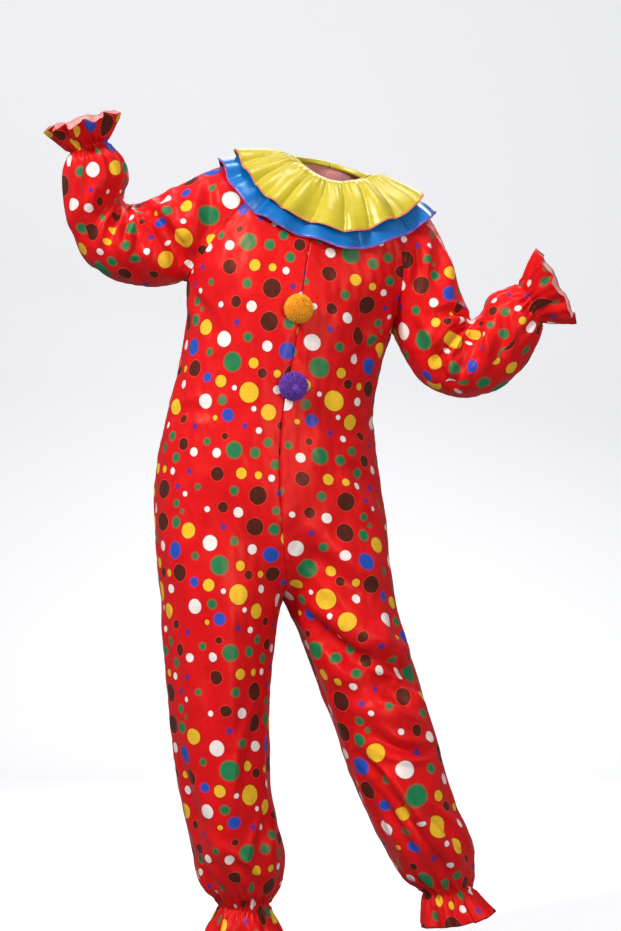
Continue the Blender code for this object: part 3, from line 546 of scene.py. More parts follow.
@dataclass
class BodyForm:
    """The body and legs, lofted on the sections' own coarse rows and columns.

    With uncut gathers the legs are as full at the ankle as the cloth was cut.
    """

    full_width: bool = False
    torso_count: int = 0

    def leg_sections(self, name: str) -> list[Section]:
        """The leg's sections, at the cloth's full width below the calf where that is wanted."""
        sections = list(LEGS[name])
        if not self.full_width:
            return sections
        full = sections[FULL_LEG]
        return [
            section
            if index <= FULL_LEG
            else replace(section, half_width=full.half_width, front=full.front, back=full.back)
            for index, section in enumerate(sections)
        ]

    @staticmethod
    def torso_section(values: np.ndarray, side: int, shares: np.ndarray) -> np.ndarray:
        """Half a body section, from centre front (share 0) round the side to centre back (1)."""
        x, y, z, half_width, front, back, fall = values
        left, forward = along(TURN)
        angles = np.pi * np.asarray(shares)[:, None]
        depth = np.where(np.cos(angles) > 0, front, back)
        offset = side * left * half_width * np.sin(angles) + forward * depth * np.cos(angles)
        offset[:, 2] = -fall * offset[:, 0]
        return np.array([x, y, z]) + offset

    @staticmethod
    def leg_ring(
        centre: np.ndarray, sizes: tuple[float, float, float, float], side: int, shares: np.ndarray
    ) -> np.ndarray:
        """A leg section, from the inseam (share 0) round the front, side and back to the inseam.

        Args:
            centre: the middle of the ring.
            sizes: its half-width, front and back half-depths, and fall.
            side: -1 for the right leg and +1 for the left.
            shares: places round the ring, 0 to 1.

        Returns:
            A point for each share.
        """
        half_width, front, back, fall = sizes
        left, forward = along(TURN)
        angles = 2 * np.pi * np.asarray(shares)[:, None]
        depth = np.where(np.sin(angles) > 0, front, back)
        offset = -side * left * half_width * np.cos(angles) + forward * depth * np.sin(angles)
        offset[:, 2] = -fall * offset[:, 0]
        return centre + offset

    def torso_rows(self, side: int, shares: np.ndarray) -> list[np.ndarray]:
        """Rows from the chest down to the crotch, blended from the body's section to the leg's."""
        numbers = np.array([section.numbers() for section in TORSO])
        heights = -numbers[:, 2]
        places = [heights[0]]
        for section, start, end in zip(TORSO[1:-1], heights[:-2], heights[1:-1]):
            places += list(start + (end - start) * np.arange(1, section.rows + 1) / section.rows)
        places = [place for place in places if place <= -RISE_TOP_Z + 1e-6]
        curves = [0.0] * len(places)
        for step in range(1, RISE_ROWS + 1):
            angle = math.pi / 2 * step / RISE_ROWS
            places.append(-RISE_TOP_Z + (RISE_TOP_Z - CROTCH[2]) * math.sin(angle))
            curves.append(1 - math.cos(angle))
        from_seam = np.minimum(shares, 1 - shares) / SEAM_REACH
        seam_share = np.exp(-(from_seam**2))[:, None]
        left, _ = along(TURN)
        rows = []
        for values, curve in zip(smooth(numbers, heights, np.array(places)), curves):
            row = self.torso_section(values, side, shares)
            down = np.clip((values[2] - THIGH_TOP_Z) / (CROTCH[2] - THIGH_TOP_Z), 0, 1)
            blend = seam_share * curve + (1 - seam_share) * down**2 * (3 - 2 * down)
            if down > 0:
                inner = np.array([CROTCH[0], CROTCH[1], values[2]])
                outer = self.torso_section(values, side, np.array([0.5]))[0]
                half_width = np.linalg.norm(outer[:2] - inner[:2]) / 2
                sizes = (half_width, LEG_TOP_FRONT, LEG_TOP_BACK, values[6])
                leg = self.leg_ring(inner + side * left * half_width, sizes, side, shares)
                leg[:, 2] -= leg[0, 2] - inner[2]
                row = (1 - blend) * row + blend * leg
            rows.append(row)
        return rows

    def leg_rows(self, name: str, crotch_row: np.ndarray, shares: np.ndarray) -> list[np.ndarray]:
        """Rows below the crotch, down to the ankle hem."""
        side = SIDES[name]
        sections = self.leg_sections(name)
        rings = [crotch_row]
        for part in sections:
            centre = np.array([part.x, part.y, part.z])
            sizes = (part.half_width, part.front, part.back, part.fall)
            rings.append(self.leg_ring(centre, sizes, side, shares))
        stations = stations_of(rings)
        places: list[float] = []
        for index, part in enumerate(sections):
            gap = stations[index + 1] - stations[index]
            places += list(stations[index] + gap * np.arange(1, part.rows + 1) / part.rows)
        return list(smooth(rings, stations, np.array(places)))

    def shoulder_rows(self, name: str, face: str, chest_row: np.ndarray) -> list[np.ndarray]:
        """Rows from the neckline down to the chest, between the centre seam and the raglan seam."""
        side = SIDES[name]
        front = face == "front"
        neck_angle = RAGLAN_FRONT if front else RAGLAN_BACK
        centre_neck = neck_point(0.0 if front else math.pi, side)
        centre_table = CENTRE_FRONT if front else CENTRE_BACK
        centre_line = seam([centre_neck, *centre_table, chest_row[0]], RAGLAN_ROWS)
        side_points = [neck_point(neck_angle, side), *RAGLANS[name, face], chest_row[-1]]
        side_line = seam(side_points, RAGLAN_ROWS)
        end_neck = neck_angle if front else math.pi - neck_angle
        shares = np.linspace(0, 1, PANEL_COLUMNS + 1)[:, None]
        rows = []
        for row in range(RAGLAN_ROWS):
            down = row / RAGLAN_ROWS
            end = end_neck + (math.pi / 2 - end_neck) * down
            left, forward = along(TURN * down)
            step = side_line[row] - centre_line[row]
            across = np.sin(end * shares) / math.sin(end)
            inward = 1 - (np.cos(end * shares) - math.cos(end)) / (1 - math.cos(end))
            sideways = left * (step @ left) + np.array([0.0, 0.0, step[2]])
            rows.append(centre_line[row] + sideways * across + forward * (step @ forward) * inward)
        return rows

    def halves(self, name: str) -> tuple[np.ndarray, np.ndarray]:
        """Front and back grids of one side: rows from neck to ankle, columns from the centre out."""
        shares = np.linspace(0, 1, 2 * PANEL_COLUMNS + 1)
        lower = self.torso_rows(SIDES[name], shares)
        self.torso_count = RAGLAN_ROWS + len(lower)
        lower += self.leg_rows(name, lower[-1], shares)
        fronts = [row[: PANEL_COLUMNS + 1] for row in lower]
        backs = [row[PANEL_COLUMNS:][::-1] for row in lower]
        fronts = self.shoulder_rows(name, "front", fronts[0]) + fronts
        backs = self.shoulder_rows(name, "back", backs[0]) + backs
        return np.array(fronts), np.array(backs)

    def sleeve(self, name: str, front: np.ndarray, back: np.ndarray) -> np.ndarray:
        """A sleeve's rings: the first follows both raglan seams and the neckline between them.

        Args:
            name: right or left.
            front: the front panel's grid on that side.
            back: the back panel's grid on that side.

        Returns:
            Closed rings, from the armhole to the rim of the wrist ruffle.
        """
        side = SIDES[name]
        neck_angles = np.linspace(RAGLAN_FRONT, RAGLAN_BACK, NECK_COLUMNS + 1)[1:-1]
        neck = [neck_point(angle, side) for angle in neck_angles]
        first = np.array([*front[RAGLAN_ROWS::-1, -1], *neck, *back[:RAGLAN_ROWS, -1]])
        angles = 2 * np.pi * np.arange(len(first))[:, None] / len(first)
        rings = [first]
        full = 0.0
        for index, part in enumerate(SLEEVES[name]):
            top = np.array([part.top_x, part.y, part.top_z])
            bottom = np.array([part.bottom_x, part.y, part.bottom_z])
            half = (top - bottom) / 2
            depth = part.half_depth
            if self.full_width and index > FULL_SLEEVE[name]:
                half = unit(half) * full
                depth = SLEEVES[name][FULL_SLEEVE[name]].half_depth
            full = np.linalg.norm(half)
            axis = side * unit(np.array([half[2], 0.0, -half[0]]))
            forward = np.array([0.0, -depth, 0.0]) - axis * part.lean
            turned = angles + math.radians(part.twist)
            rings.append((top + bottom) / 2 - half * np.cos(turned) + forward * np.sin(turned))
        stations = stations_of(rings)
        places = [0.0]
        for index, part in enumerate(SLEEVES[name]):
            gap = stations[index + 1] - stations[index]
            places += list(stations[index] + gap * np.arange(1, part.rows + 1) / part.rows)
        return smooth(rings, stations, np.array(places))


def quads_of(rows: int, columns: int, wraps: bool) -> np.ndarray:
    """Corner indices of a grid's facets, four to each."""
    row = np.arange(rows - 1)[:, None] * columns
    column = np.arange(columns if wraps else columns - 1)[None, :]
    after = (column + 1) % columns
    corners = [row + column, row + after, row + columns + after, row + columns + column]
    return np.stack([corner.ravel() for corner in corners], axis=1)


@dataclass
class Sheet:
    """A cloth grid, whether its columns close into a ring, and which way it faces."""

    points: np.ndarray
    wraps: bool
    flip: int

    def moved(self, points: np.ndarray) -> "Sheet":
        """The same sheet with its points elsewhere."""
        return Sheet(points, self.wraps, self.flip)


def parted(values: np.ndarray, sheets: list[Sheet]) -> list[np.ndarray]:
    """A row for each point of all the sheets, as one grid for each sheet."""
    ends = np.cumsum([sheet.points[..., 0].size for sheet in sheets])[:-1]
    return [part.reshape(sheet.points.shape) for part, sheet in zip(np.split(values, ends), sheets)]


def shared_normals(sheets: list[Sheet]) -> list[np.ndarray]:
    """Outward normals of several sheets, averaged where they share a point."""
    flat = np.concatenate([sheet.points.reshape(-1, 3) for sheet in sheets])
    _, shared = np.unique(np.round(flat, 6), axis=0, return_inverse=True)
    shared = shared.reshape(-1)
    sums = np.zeros((shared.max() + 1, 3))
    start = 0
    for sheet in sheets:
        rows, columns = sheet.points.shape[:2]
        quads = quads_of(rows, columns, sheet.wraps) + start
        a, b, c, d = (flat[quads[:, corner]] for corner in range(4))
        facing = np.cross(c - a, d - b) * sheet.flip
        for corner in range(4):
            np.add.at(sums, shared[quads[:, corner]], facing)
        start += rows * columns
    return parted(unit(sums)[shared], sheets)


def relaxed(sheets: list[Sheet], passes: int, last_rows: int) -> list[Sheet]:
    """The sheets with each free point moved halfway to the mean of its neighbours.

    Args:
        sheets: the panels and sleeves, which share their seam points.
        passes: how often the points are moved.
        last_rows: how many rows at the foot of each sheet stay in place, as the neckline does.

    Returns:
        The moved sheets, still joined at their seams.
    """
    flat = np.concatenate([sheet.points.reshape(-1, 3) for sheet in sheets])
    _, first, shared = np.unique(np.round(flat, 6), axis=0, return_index=True, return_inverse=True)
    shared = shared.reshape(-1)
    places = flat[first]
    held = np.zeros(len(places), bool)
    edges, start = [], 0
    for sheet in sheets:
        rows, columns = sheet.points.shape[:2]
        quads = shared[quads_of(rows, columns, sheet.wraps) + start]
        for corner in range(4):
            edges.append(quads[:, [corner, (corner + 1) % 4]])
        held[shared[start + (rows - last_rows) * columns : start + rows * columns]] = True
        neck = np.arange(RAGLAN_ROWS, RAGLAN_ROWS + NECK_COLUMNS + 1)
        held[shared[start + (neck if sheet.wraps else np.arange(columns))]] = True
        start += rows * columns
    pairs = np.unique(np.sort(np.concatenate(edges), axis=1), axis=0)
    for _ in range(passes):
        sums, counts = np.zeros_like(places), np.zeros(len(places))
        for near, far in ((pairs[:, 0], pairs[:, 1]), (pairs[:, 1], pairs[:, 0])):
            np.add.at(sums, near, places[far])
            np.add.at(counts, near, 1)
        moved = (places + sums / counts[:, None]) / 2
        places = np.where(held[:, None], places, moved)
    return [sheet.moved(points) for sheet, points in zip(sheets, parted(places[shared], sheets))]


def ghost_after(last: np.ndarray, before: np.ndarray, third: np.ndarray) -> np.ndarray:
    """The column that would follow the last one, on the curve of the last three."""
    return 3 * last - 3 * before + third


def finer_columns(points: np.ndarray, first: np.ndarray, last: np.ndarray, split: int) -> np.ndarray:
    """Reads smooth curves across each row.

    Args:
        points: rows of points.
        first: the column that comes before each row, for the curve's slope there.
        last: the column that follows each row.
        split: how many finer columns each coarse one becomes.

    Returns:
        The finer rows, which pass through the coarse points.
    """
    full = np.concatenate([first[:, None], points, last[:, None]], axis=1)
    u = (np.arange(split) / split)[None, None, :, None]
    a, b, c, d = (full[:, k : full.shape[1] - 3 + k, None, :] for k in range(4))
    curve = b + 0.5 * u * (c - a + u * (2 * a - 5 * b + 4 * c - d + u * (3 * (b - c) + d - a)))
    finer = curve.reshape(points.shape[0], -1, points.shape[2])
    return np.concatenate([finer, points[:, -1:]], axis=1)


def open_finer(points: np.ndarray, split: int) -> np.ndarray:
    """Finer columns of a sheet that ends at both sides."""
    first = ghost_after(points[:, 0], points[:, 1], points[:, 2])
    last = ghost_after(points[:, -1], points[:, -2], points[:, -3])
    return finer_columns(points, first, last, split)


def linked(name: str, data: bpy.types.ID) -> bpy.types.Object:
    """A new object in the scene."""
    thing = bpy.data.objects.new(name, data)
    bpy.context.scene.collection.objects.link(thing)
    return thing


def select(*pieces: bpy.types.Object) -> None:
    """Selects only these pieces, with the first as the active one."""
    bpy.ops.object.select_all(action="DESELECT")
    for piece in pieces:
        piece.select_set(True)
    bpy.context.view_layer.objects.active = pieces[0]


def made_mesh(name: str, points: np.ndarray, faces: list) -> bpy.types.Object:
    """A mesh object in the scene, with nothing else selected."""
    mesh = bpy.data.meshes.new(name)
    mesh.from_pydata(points.reshape(-1, 3).tolist(), [], faces)
    piece = linked(name, mesh)
    select(piece)
    return piece


@contextmanager
def whole_mesh() -> Iterator[None]:
    """Edit mode on the active piece, with all of its mesh selected."""
    bpy.ops.object.mode_set(mode="EDIT")
    bpy.ops.mesh.select_all(action="SELECT")
    yield
    bpy.ops.object.mode_set(mode="OBJECT")


@dataclass
class FlatCut:
    """A piece as it is cut: its place on the print for each point, its size and its area."""

    places: np.ndarray
    width: float
    length: float
    area: float


def cut_flat(points: np.ndarray, flip: int, top_row: int, low_row: int, zero_z: float) -> FlatCut:
    """Lays a sheet flat at its true size, with its first column straight down the print.

    Args:
        points: the ungathered sheet, open at both sides.
        flip: which way the sheet faces.
        top_row: the row where the straight part of the first column starts.
        low_row: the row where it ends.
        zero_z: the height that is the print's zero on the first column.

    Returns:
        The flat piece, in metres.
    """
    rows, columns = points.shape[:2]
    quads = quads_of(rows, columns, False)
    faces = quads if flip > 0 else quads[:, ::-1]
    piece = made_mesh("cut", points, faces.tolist())
    mesh = piece.data
    with whole_mesh():
        bpy.ops.uv.unwrap(method="ANGLE_BASED", margin=0.0)
    corners = np.zeros(len(mesh.loops) * 2)
    mesh.uv_layers.active.data.foreach_get("uv", corners)
    owner = np.zeros(len(mesh.loops), int)
    mesh.loops.foreach_get("vertex_index", owner)
    flat = np.zeros((rows * columns, 2))
    flat[owner] = corners.reshape(-1, 2)
    bpy.data.objects.remove(piece, do_unlink=True)
    bpy.data.meshes.remove(mesh)

    solid = points.reshape(-1, 3)
    a, b, c, d = (solid[faces[:, corner]] for corner in range(4))
    area = np.linalg.norm(np.cross(c - a, d - b), axis=1).sum() / 2
    p, q = flat[faces[:, 2]] - flat[faces[:, 0]], flat[faces[:, 3]] - flat[faces[:, 1]]
    turned = (p[:, 0] * q[:, 1] - p[:, 1] * q[:, 0]).sum() / 2
    if turned < 0:
        flat[:, 0] *= -1
    flat *= math.sqrt(area / abs(turned))
    flat = flat.reshape(rows, columns, 2)
    down = unit(flat[low_row, 0] - flat[top_row, 0])
    across = np.array([-down[1], down[0]])
    laid = np.stack([flat @ across, flat @ down], axis=-1)
    heights = points[:, 0, 2]
    zero_row = int(np.argmin(np.abs(heights - zero_z)))
    zero = laid[zero_row, 0].copy()
    zero[1] += heights[zero_row] - zero_z
    laid -= zero
    width, length = np.ptp(laid.reshape(-1, 2), axis=0)
    return FlatCut(laid, float(width), float(length), float(area))


def crease_shift(points: np.ndarray, normals: np.ndarray, creases: tuple[Crease, ...]) -> np.ndarray:
    """How far each point moves along its normal for these creases.

    A crease runs out at both ends, and its cloth heaps up a little along both sides of a trough.
    """
    shift = np.zeros(points.shape[:-1])
    flat = points[..., [0, 2]]
    for crease in creases:
        corners = np.array(crease.line)
        reach = crease.half_width * 3
        low, high = corners.min(axis=0) - reach, corners.max(axis=0) + reach
        near = ((flat > low) & (flat < high)).all(axis=-1)
        near &= normals[..., 1] * crease.face > 0
        if not near.any():
            continue
        bent = len(corners) > 2
        curve = seam(list(corners), CREASE_STEPS) if bent else np.linspace(*corners, CREASE_STEPS + 1)
        spots = flat[near]
        best = np.full(len(spots), np.inf)
        share = np.zeros(len(spots))
        for index in range(CREASE_STEPS):
            run = curve[index + 1] - curve[index]
            place = np.clip((spots - curve[index]) @ run / (run @ run), 0, 1)
            gap = np.linalg.norm(spots - curve[index] - place[:, None] * run, axis=1)
            nearer = gap < best
            best[nearer] = gap[nearer]
            share[nearer] = (index + place[nearer]) / CREASE_STEPS
        ends = np.sin(np.pi * np.clip(share, 0.02, 0.98)) ** 0.6
        wide = crease.half_width * (0.75 + 0.5 * share)
        away = best / wide
        if crease.depth < 0:
            form = np.exp(-(away**2)) - CREASE_HEAP * np.exp(-((away - CREASE_HEAP_AT) ** 2) * 2.2)
        else:
            form = np.exp(-(away**2) * 0.8)
        faces = np.clip(normals[..., 1][near] * crease.face * 2.2, 0, 1)
        shift[near] += crease.depth * FOLD_STRENGTH[crease.zone] * form * ends * faces
    return shift


def rumples(points: np.ndarray, size: float, depth: float, seed: int) -> np.ndarray:
    """Slight unevenness over the cloth, from a few long waves that cross each other."""
    draw = np.random.default_rng(seed)
    shift = np.zeros(points.shape[:-1])
    for _ in range(7):
        way = unit(draw.normal(size=3) * np.array([1.0, 1.0, 0.55]))
        phase, pace = draw.uniform(0, 6.28), 2 * np.pi / (size * draw.uniform(0.7, 1.6))
        bend = 0.8 * np.sin(points[..., 2] * pace * 0.35 + phase * 2)
        shift += np.sin(points @ way * pace + phase + bend)
    return shift * depth / 3.5


@dataclass
class Gathers:
    """The gathers of one elastic: pleats above and below it, the channel, and the ruffle's waves.

    turns are places round the ring, 0 to 2 pi, and down is the distance past the elastic.
    """

    seed: int
    pleats: int = 30
    depth: float = 0.0040
    ruffle_length: float = 0.066
    ruffle_depth: float = 0.0085
    waves: int = 9

    def shift(self, turns: np.ndarray, down: np.ndarray) -> np.ndarray:
        """How far each point moves outwards."""
        draw = np.random.default_rng(self.seed)
        total = np.zeros(np.broadcast(turns, down).shape)
        spread = 2 * np.pi / self.pleats
        for index in range(self.pleats):
            turn = (index + draw.uniform(-0.3, 0.3)) * spread
            above, below = draw.uniform(0.018, 0.075), draw.uniform(0.010, 0.026)
            drift, deep = draw.normal(0, 2.2), self.depth * draw.uniform(0.6, 1.35)
            reach = np.where(down < 0, above, below)
            fade = np.exp(-((down / reach) ** 2)) * eased(np.abs(down), 0.0, 0.006)
            half = spread * (0.22 + 0.40 * np.clip(np.abs(down) / 0.06, 0, 1.2))
            gap = (turns - turn - drift * down + np.pi) % (2 * np.pi) - np.pi
            away = gap / half
            total -= deep * fade * (np.exp(-(away**2)) - 0.45 * np.exp(-((np.abs(away) - 1.9) ** 2)))
        channel = np.exp(-((down / 0.0050) ** 4))
        shirring = np.sin(turns * 58 + 1.5 * np.sin(turns * 3)) * 0.00055
        total += channel * (shirring - 0.0018)
        share = eased(down, 0.004, self.ruffle_length)
        warp = 0.75 * np.sin(turns + self.seed) + 0.45 * np.sin(2 * turns + 2 * self.seed)
        wave = np.sin(self.waves * turns + warp * 2.0)
        finer = np.sin((2 * self.waves + 1) * turns + warp * 3 + 1.0)
        total += share * self.ruffle_depth * (0.80 * np.sign(wave) * np.abs(wave) ** 0.8 + 0.28 * finer)
        return total


def joined_tubes(name: str, paths: np.ndarray, radii: np.ndarray, sides: int) -> bpy.types.Object:
    """Many thin tapering tubes as one mesh.

    Args:
        name: the piece's name.
        paths: one row of points for each tube.
        radii: a radius for each point of a path.
        sides: facets round a tube.

    Returns:
        The joined tubes, closed at both ends.
    """
    count, steps = paths.shape[:2]
    ahead = unit(np.gradient(paths, axis=1))
    aside = unit(np.cross(ahead, np.array([0.31, 0.17, 0.93])))
    over = np.cross(ahead, aside)
    turn = 2 * np.pi * np.arange(sides) / sides
    ring = (
        aside[:, :, None] * np.cos(turn)[None, None, :, None]
        + over[:, :, None] * np.sin(turn)[None, None, :, None]
    )
    points = paths[:, :, None] + ring * radii[None, :, None, None]
    quads = quads_of(steps, sides, True)
    starts = np.arange(count)[:, None, None] * steps * sides
    faces = (quads[None] + starts).reshape(-1, 4).tolist()
    first = np.arange(sides)[::-1]
    last = (steps - 1) * sides + np.arange(sides)
    for cap in (first, last):
        faces += (cap[None] + starts[:, 0]).tolist()
    piece = made_mesh(name, points, faces)
    with whole_mesh():
        bpy.ops.mesh.normals_make_consistent(inside=False)
    piece.data.shade_smooth()
    return piece


def sewn(
    name: str,
    sheet: Sheet,
    prints: np.ndarray,
    hem: np.ndarray,
    materials: tuple[bpy.types.Material, bpy.types.Material],
    thickness: float = CLOTH,
) -> bpy.types.Object:
    """A finished cloth piece: its grid, its place on the print, its thickness and its materials.

    Args:
        name: the piece's name.
        sheet: its outer surface.
        prints: where each point lies on the flat cloth; a closed sheet has one column more.
        hem: 1 at a cut edge and 0 away from it, for each point.
        materials: the right side and the reverse.
        thickness: of the cloth, inwards.

    Returns:
        The piece.
    """
    rows, columns = sheet.points.shape[:2]
    quads = quads_of(rows, columns, sheet.wraps)
    wide = columns + 1 if sheet.wraps else columns
    flats = quads_of(rows, wide, False)
    if sheet.flip < 0:
        quads, flats = quads[:, ::-1], flats[:, ::-1]
    piece = made_mesh(name, sheet.points, quads.tolist())
    mesh = piece.data
    layer = mesh.uv_layers.new(name="print")
    layer.data.foreach_set("uv", prints.reshape(-1, 2)[flats.ravel()].ravel())
    edge = mesh.attributes.new("hem", "FLOAT", "POINT")
    edge.data.foreach_set("value", hem.ravel())
    for material in materials:
        mesh.materials.append(material)
    mesh.shade_smooth()
    wall = piece.modifiers.new("thickness", "SOLIDIFY")
    wall.thickness = thickness
    wall.offset = -1.0
    wall.material_offset = 1
    wall.material_offset_rim = 0
    bpy.ops.object.modifier_apply(modifier=wall.name)
    return piece


@dataclass
class SuitBody:
    """The four body panels and the two raglan sleeves, as one surface cut at its seams."""

    printed: tuple[bpy.types.Material, bpy.types.Material]
    sheets: dict[str, Sheet] = field(default_factory=dict)
    normals: dict[str, np.ndarray] = field(default_factory=dict)
    cuts: dict[str, FlatCut] = field(default_factory=dict)
    prints: dict[str, np.ndarray] = field(default_factory=dict)
    hems: dict[str, np.ndarray] = field(default_factory=dict)

    @staticmethod
    def coarse(full_width: bool = False) -> tuple[dict[str, Sheet], int]:
        """The sections' own grids, eased at their seams, and how many rows the torso has."""
        form = BodyForm(full_width)
        sheets: dict[str, Sheet] = {}
        for name, side in SIDES.items():
            front, back = form.halves(name)
            sheets["front_" + name] = Sheet(front, False, -side)
            sheets["back_" + name] = Sheet(back, False, side)
            sheets["sleeve_" + name] = Sheet(form.sleeve(name, front, back), True, -side)
        eased_sheets = relaxed(list(sheets.values()), RELAX_PASSES, RUFFLE_ROWS)
        return dict(zip(sheets, eased_sheets)), form.torso_count

    @staticmethod
    def row_splits(stations: np.ndarray) -> list[int]:
        """How many finer rows each gap between the stations takes."""
        return [max(2, round(gap / FINE_STEP)) for gap in np.diff(stations)]

    @staticmethod
    def fine_places(stations: np.ndarray, splits: list[int]) -> np.ndarray:
        """Places of the finer rows: each gap is split evenly."""
        places = [
            start + (end - start) * np.arange(split) / split
            for start, end, split in zip(stations[:-1], stations[1:], splits)
        ]
        return np.concatenate([*places, stations[-1:]])

    def fine_panels(self, coarse: dict[str, Sheet], torso: int) -> dict[str, tuple]:
        """Finer panels that still meet at every seam.

        Args:
            coarse: the sections' own grids.
            torso: how many of their rows are above the crotch, with the crotch's own row.

        Returns:
            For each panel: its points, and the stations and places of its rows.
        """
        crotch = torso - 1
        tops = [coarse[face + name].points[:torso] for name in SIDES for face in ("front_", "back_")]
        mean_top = np.mean([stations_of(top) for top in tops], axis=0)
        result = {}
        share = np.linspace(0, 0.5, PANEL_COLUMNS * COLUMN_SPLIT + 1)
        by_seam = np.exp(-((share / SEAM_REACH) ** 2))[None, :, None]
        for name in SIDES:
            other = "left" if name == "right" else "right"
            legs = [stations_of(coarse[face + name].points[crotch:]) for face in ("front_", "back_")]
            stations = np.concatenate([mean_top, mean_top[-1] + np.mean(legs, axis=0)[1:]])
            splits = self.row_splits(stations)
            splits[:RAGLAN_ROWS] = [RAGLAN_SPLIT] * RAGLAN_ROWS
            places = self.fine_places(stations, splits)
            above = places <= stations[crotch] + 1e-9
            for face, back_face in (("front_", "back_"), ("back_", "front_")):
                points = coarse[face + name].points
                beyond = ghost_after(points[:, -1], points[:, -2], points[:, -3])
                beyond[RAGLAN_ROWS:] = coarse[back_face + name].points[RAGLAN_ROWS:, -2]
                across = coarse[face + other].points[:torso, 1]
                inseam = coarse[back_face + name].points[crotch:, 1]
                upper = finer_columns(points[:torso], across, beyond[:torso], COLUMN_SPLIT)
                lower = finer_columns(points[crotch:], inseam, beyond[crotch:], COLUMN_SPLIT)
                middle = (upper[-1] + lower[0]) / 2
                upper[-1], lower[0] = middle, middle
                whole = smooth(np.concatenate([upper, lower[1:]]), stations, places)
                parted = np.concatenate([
                    smooth(upper, stations[:torso], places[above]),
                    smooth(lower, stations[crotch:], places[~above]),
                ])
                fine = by_seam * parted + (1 - by_seam) * whole
                result[face + name] = (fine, stations, places)
        return result

    def fine_sleeve(self, name: str, coarse: Sheet, panels: dict[str, tuple]) -> tuple:
        """A finer sleeve whose first ring takes its points from the panels' raglan seams."""
        points = coarse.points
        ringed = finer_columns(points, points[:, -1], points[:, 0], RAGLAN_SPLIT)
        closing = finer_columns(points[:, [-1, 0]], points[:, -2], points[:, 1], RAGLAN_SPLIT)
        ringed = np.concatenate([ringed[:, :-1], closing[:, :RAGLAN_SPLIT]], axis=1)
        edge = RAGLAN_ROWS * RAGLAN_SPLIT
        front = panels["front_" + name][0][edge::-1, -1]
        back = panels["back_" + name][0][:edge, -1]
        angles = np.linspace(RAGLAN_FRONT, RAGLAN_BACK, NECK_COLUMNS * RAGLAN_SPLIT + 1)[1:-1]
        neck = np.array([neck_point(angle, SIDES[name]) for angle in angles])
        ringed[0] = np.concatenate([front, neck, back])
        stations = stations_of(ringed)
        places = self.fine_places(stations, self.row_splits(stations))
        return smooth(ringed, stations, places), stations, places

    def cut_cloth(self) -> None:
        """Cuts every piece flat at the cloth's full width, which places the print on it."""
        sheets, _ = self.coarse(full_width=True)
        for name, sheet in sheets.items():
            if sheet.wraps:
                opened = np.concatenate([sheet.points, sheet.points[:, :1]], axis=1)
                self.cuts[name] = cut_flat(opened, sheet.flip, *SLEEVE_STRAIGHT, SLEEVE_ZERO_Z)
            else:
                self.cuts[name] = cut_flat(sheet.points, sheet.flip, *PANEL_STRAIGHT, PRINT_TOP_Z)

    def place_print(self, name: str, split: int, stations: np.ndarray, places: np.ndarray) -> None:
        """Reads a piece's place on the print at its finer points."""
        flat = open_finer(self.cuts[name].places, split)
        self.prints[name] = LAYS[name].placed(smooth(flat, stations, places))

    def shaped(self, sheets: list[Sheet], creases: tuple[Crease, ...]) -> list[Sheet]:
        """The sheets moved along their shared normals by their own creases."""
        moved = []
        for sheet, normal in zip(sheets, shared_normals(sheets)):
            own = tuple(crease for crease in creases if (crease.zone == "arm") == sheet.wraps)
            shift = crease_shift(sheet.points, normal, own)
            shift *= self.off_raglan(sheet)
            moved.append(sheet.moved(sheet.points + normal * shift[..., None]))
        return moved

    @staticmethod
    def off_raglan(sheet: Sheet) -> np.ndarray:
        """0 on the raglan seam and the neckline, rising to 1 a little way off them."""
        points = sheet.points
        if sheet.wraps:
            return eased(np.linalg.norm(points - points[:1], axis=-1), 0.0, CALM_REACH)
        rows = RAGLAN_ROWS * RAGLAN_SPLIT
        seam_line = points[: rows + 1, -1]
        result = eased(np.arange(len(points), dtype=float) * 0.0035, 0.0, CALM_REACH)[:, None]
        result = np.repeat(result, points.shape[1], axis=1)
        for row in range(min(rows + 12, len(points))):
            gap = np.linalg.norm(points[row][:, None] - seam_line[None], axis=-1).min(axis=1)
            result[row] *= eased(gap, 0.0, CALM_REACH)
        return result

    @staticmethod
    def gather_shift(name: str, sheet: Sheet, down: np.ndarray) -> np.ndarray:
        """How far the gathers at a piece's elastic move its points, which lie down past it."""
        columns = sheet.points.shape[1]
        is_left = name.endswith("left")
        if sheet.wraps:
            turns = 2 * np.pi * np.arange(columns)[None] / columns
            return Gathers(seed=11 if is_left else 7, ruffle_length=0.058).shift(turns, down)
        turns = np.pi * np.linspace(0, 1, columns)[None]
        if name.startswith("back"):
            turns = 2 * np.pi - turns
        gathers = Gathers(seed=23 if is_left else 19, ruffle_length=0.056, pleats=34)
        return gathers.shift(turns, down)

    @staticmethod
    def seam_dip(sheet: Sheet) -> np.ndarray:
        """How far the cloth rolls in beside its seams, with the seams' slight puckers."""
        points = sheet.points
        if sheet.wraps:
            gap = np.linalg.norm(points - points[:1], axis=-1)
            return -SEAM_DIP * np.exp(-((gap / SEAM_ROLL) ** 2))
        dip = np.zeros(points.shape[:2])
        for edge in (0, -1):
            line = points[:, edge]
            gap = np.linalg.norm(points - line[:, None], axis=-1)
            run = stations_of(line)
            waves = SEAM_PUCKER * np.sin(run * 190 + 2 * np.sin(run * 37))
            pucker = waves * np.exp(-(((gap.T - PUCKER_GAP) / PUCKER_GAP) ** 2))
            dip -= SEAM_DIP * np.exp(-((gap / SEAM_ROLL) ** 2))
            dip += pucker.T * eased(gap, 0.0, 0.004)
        return dip

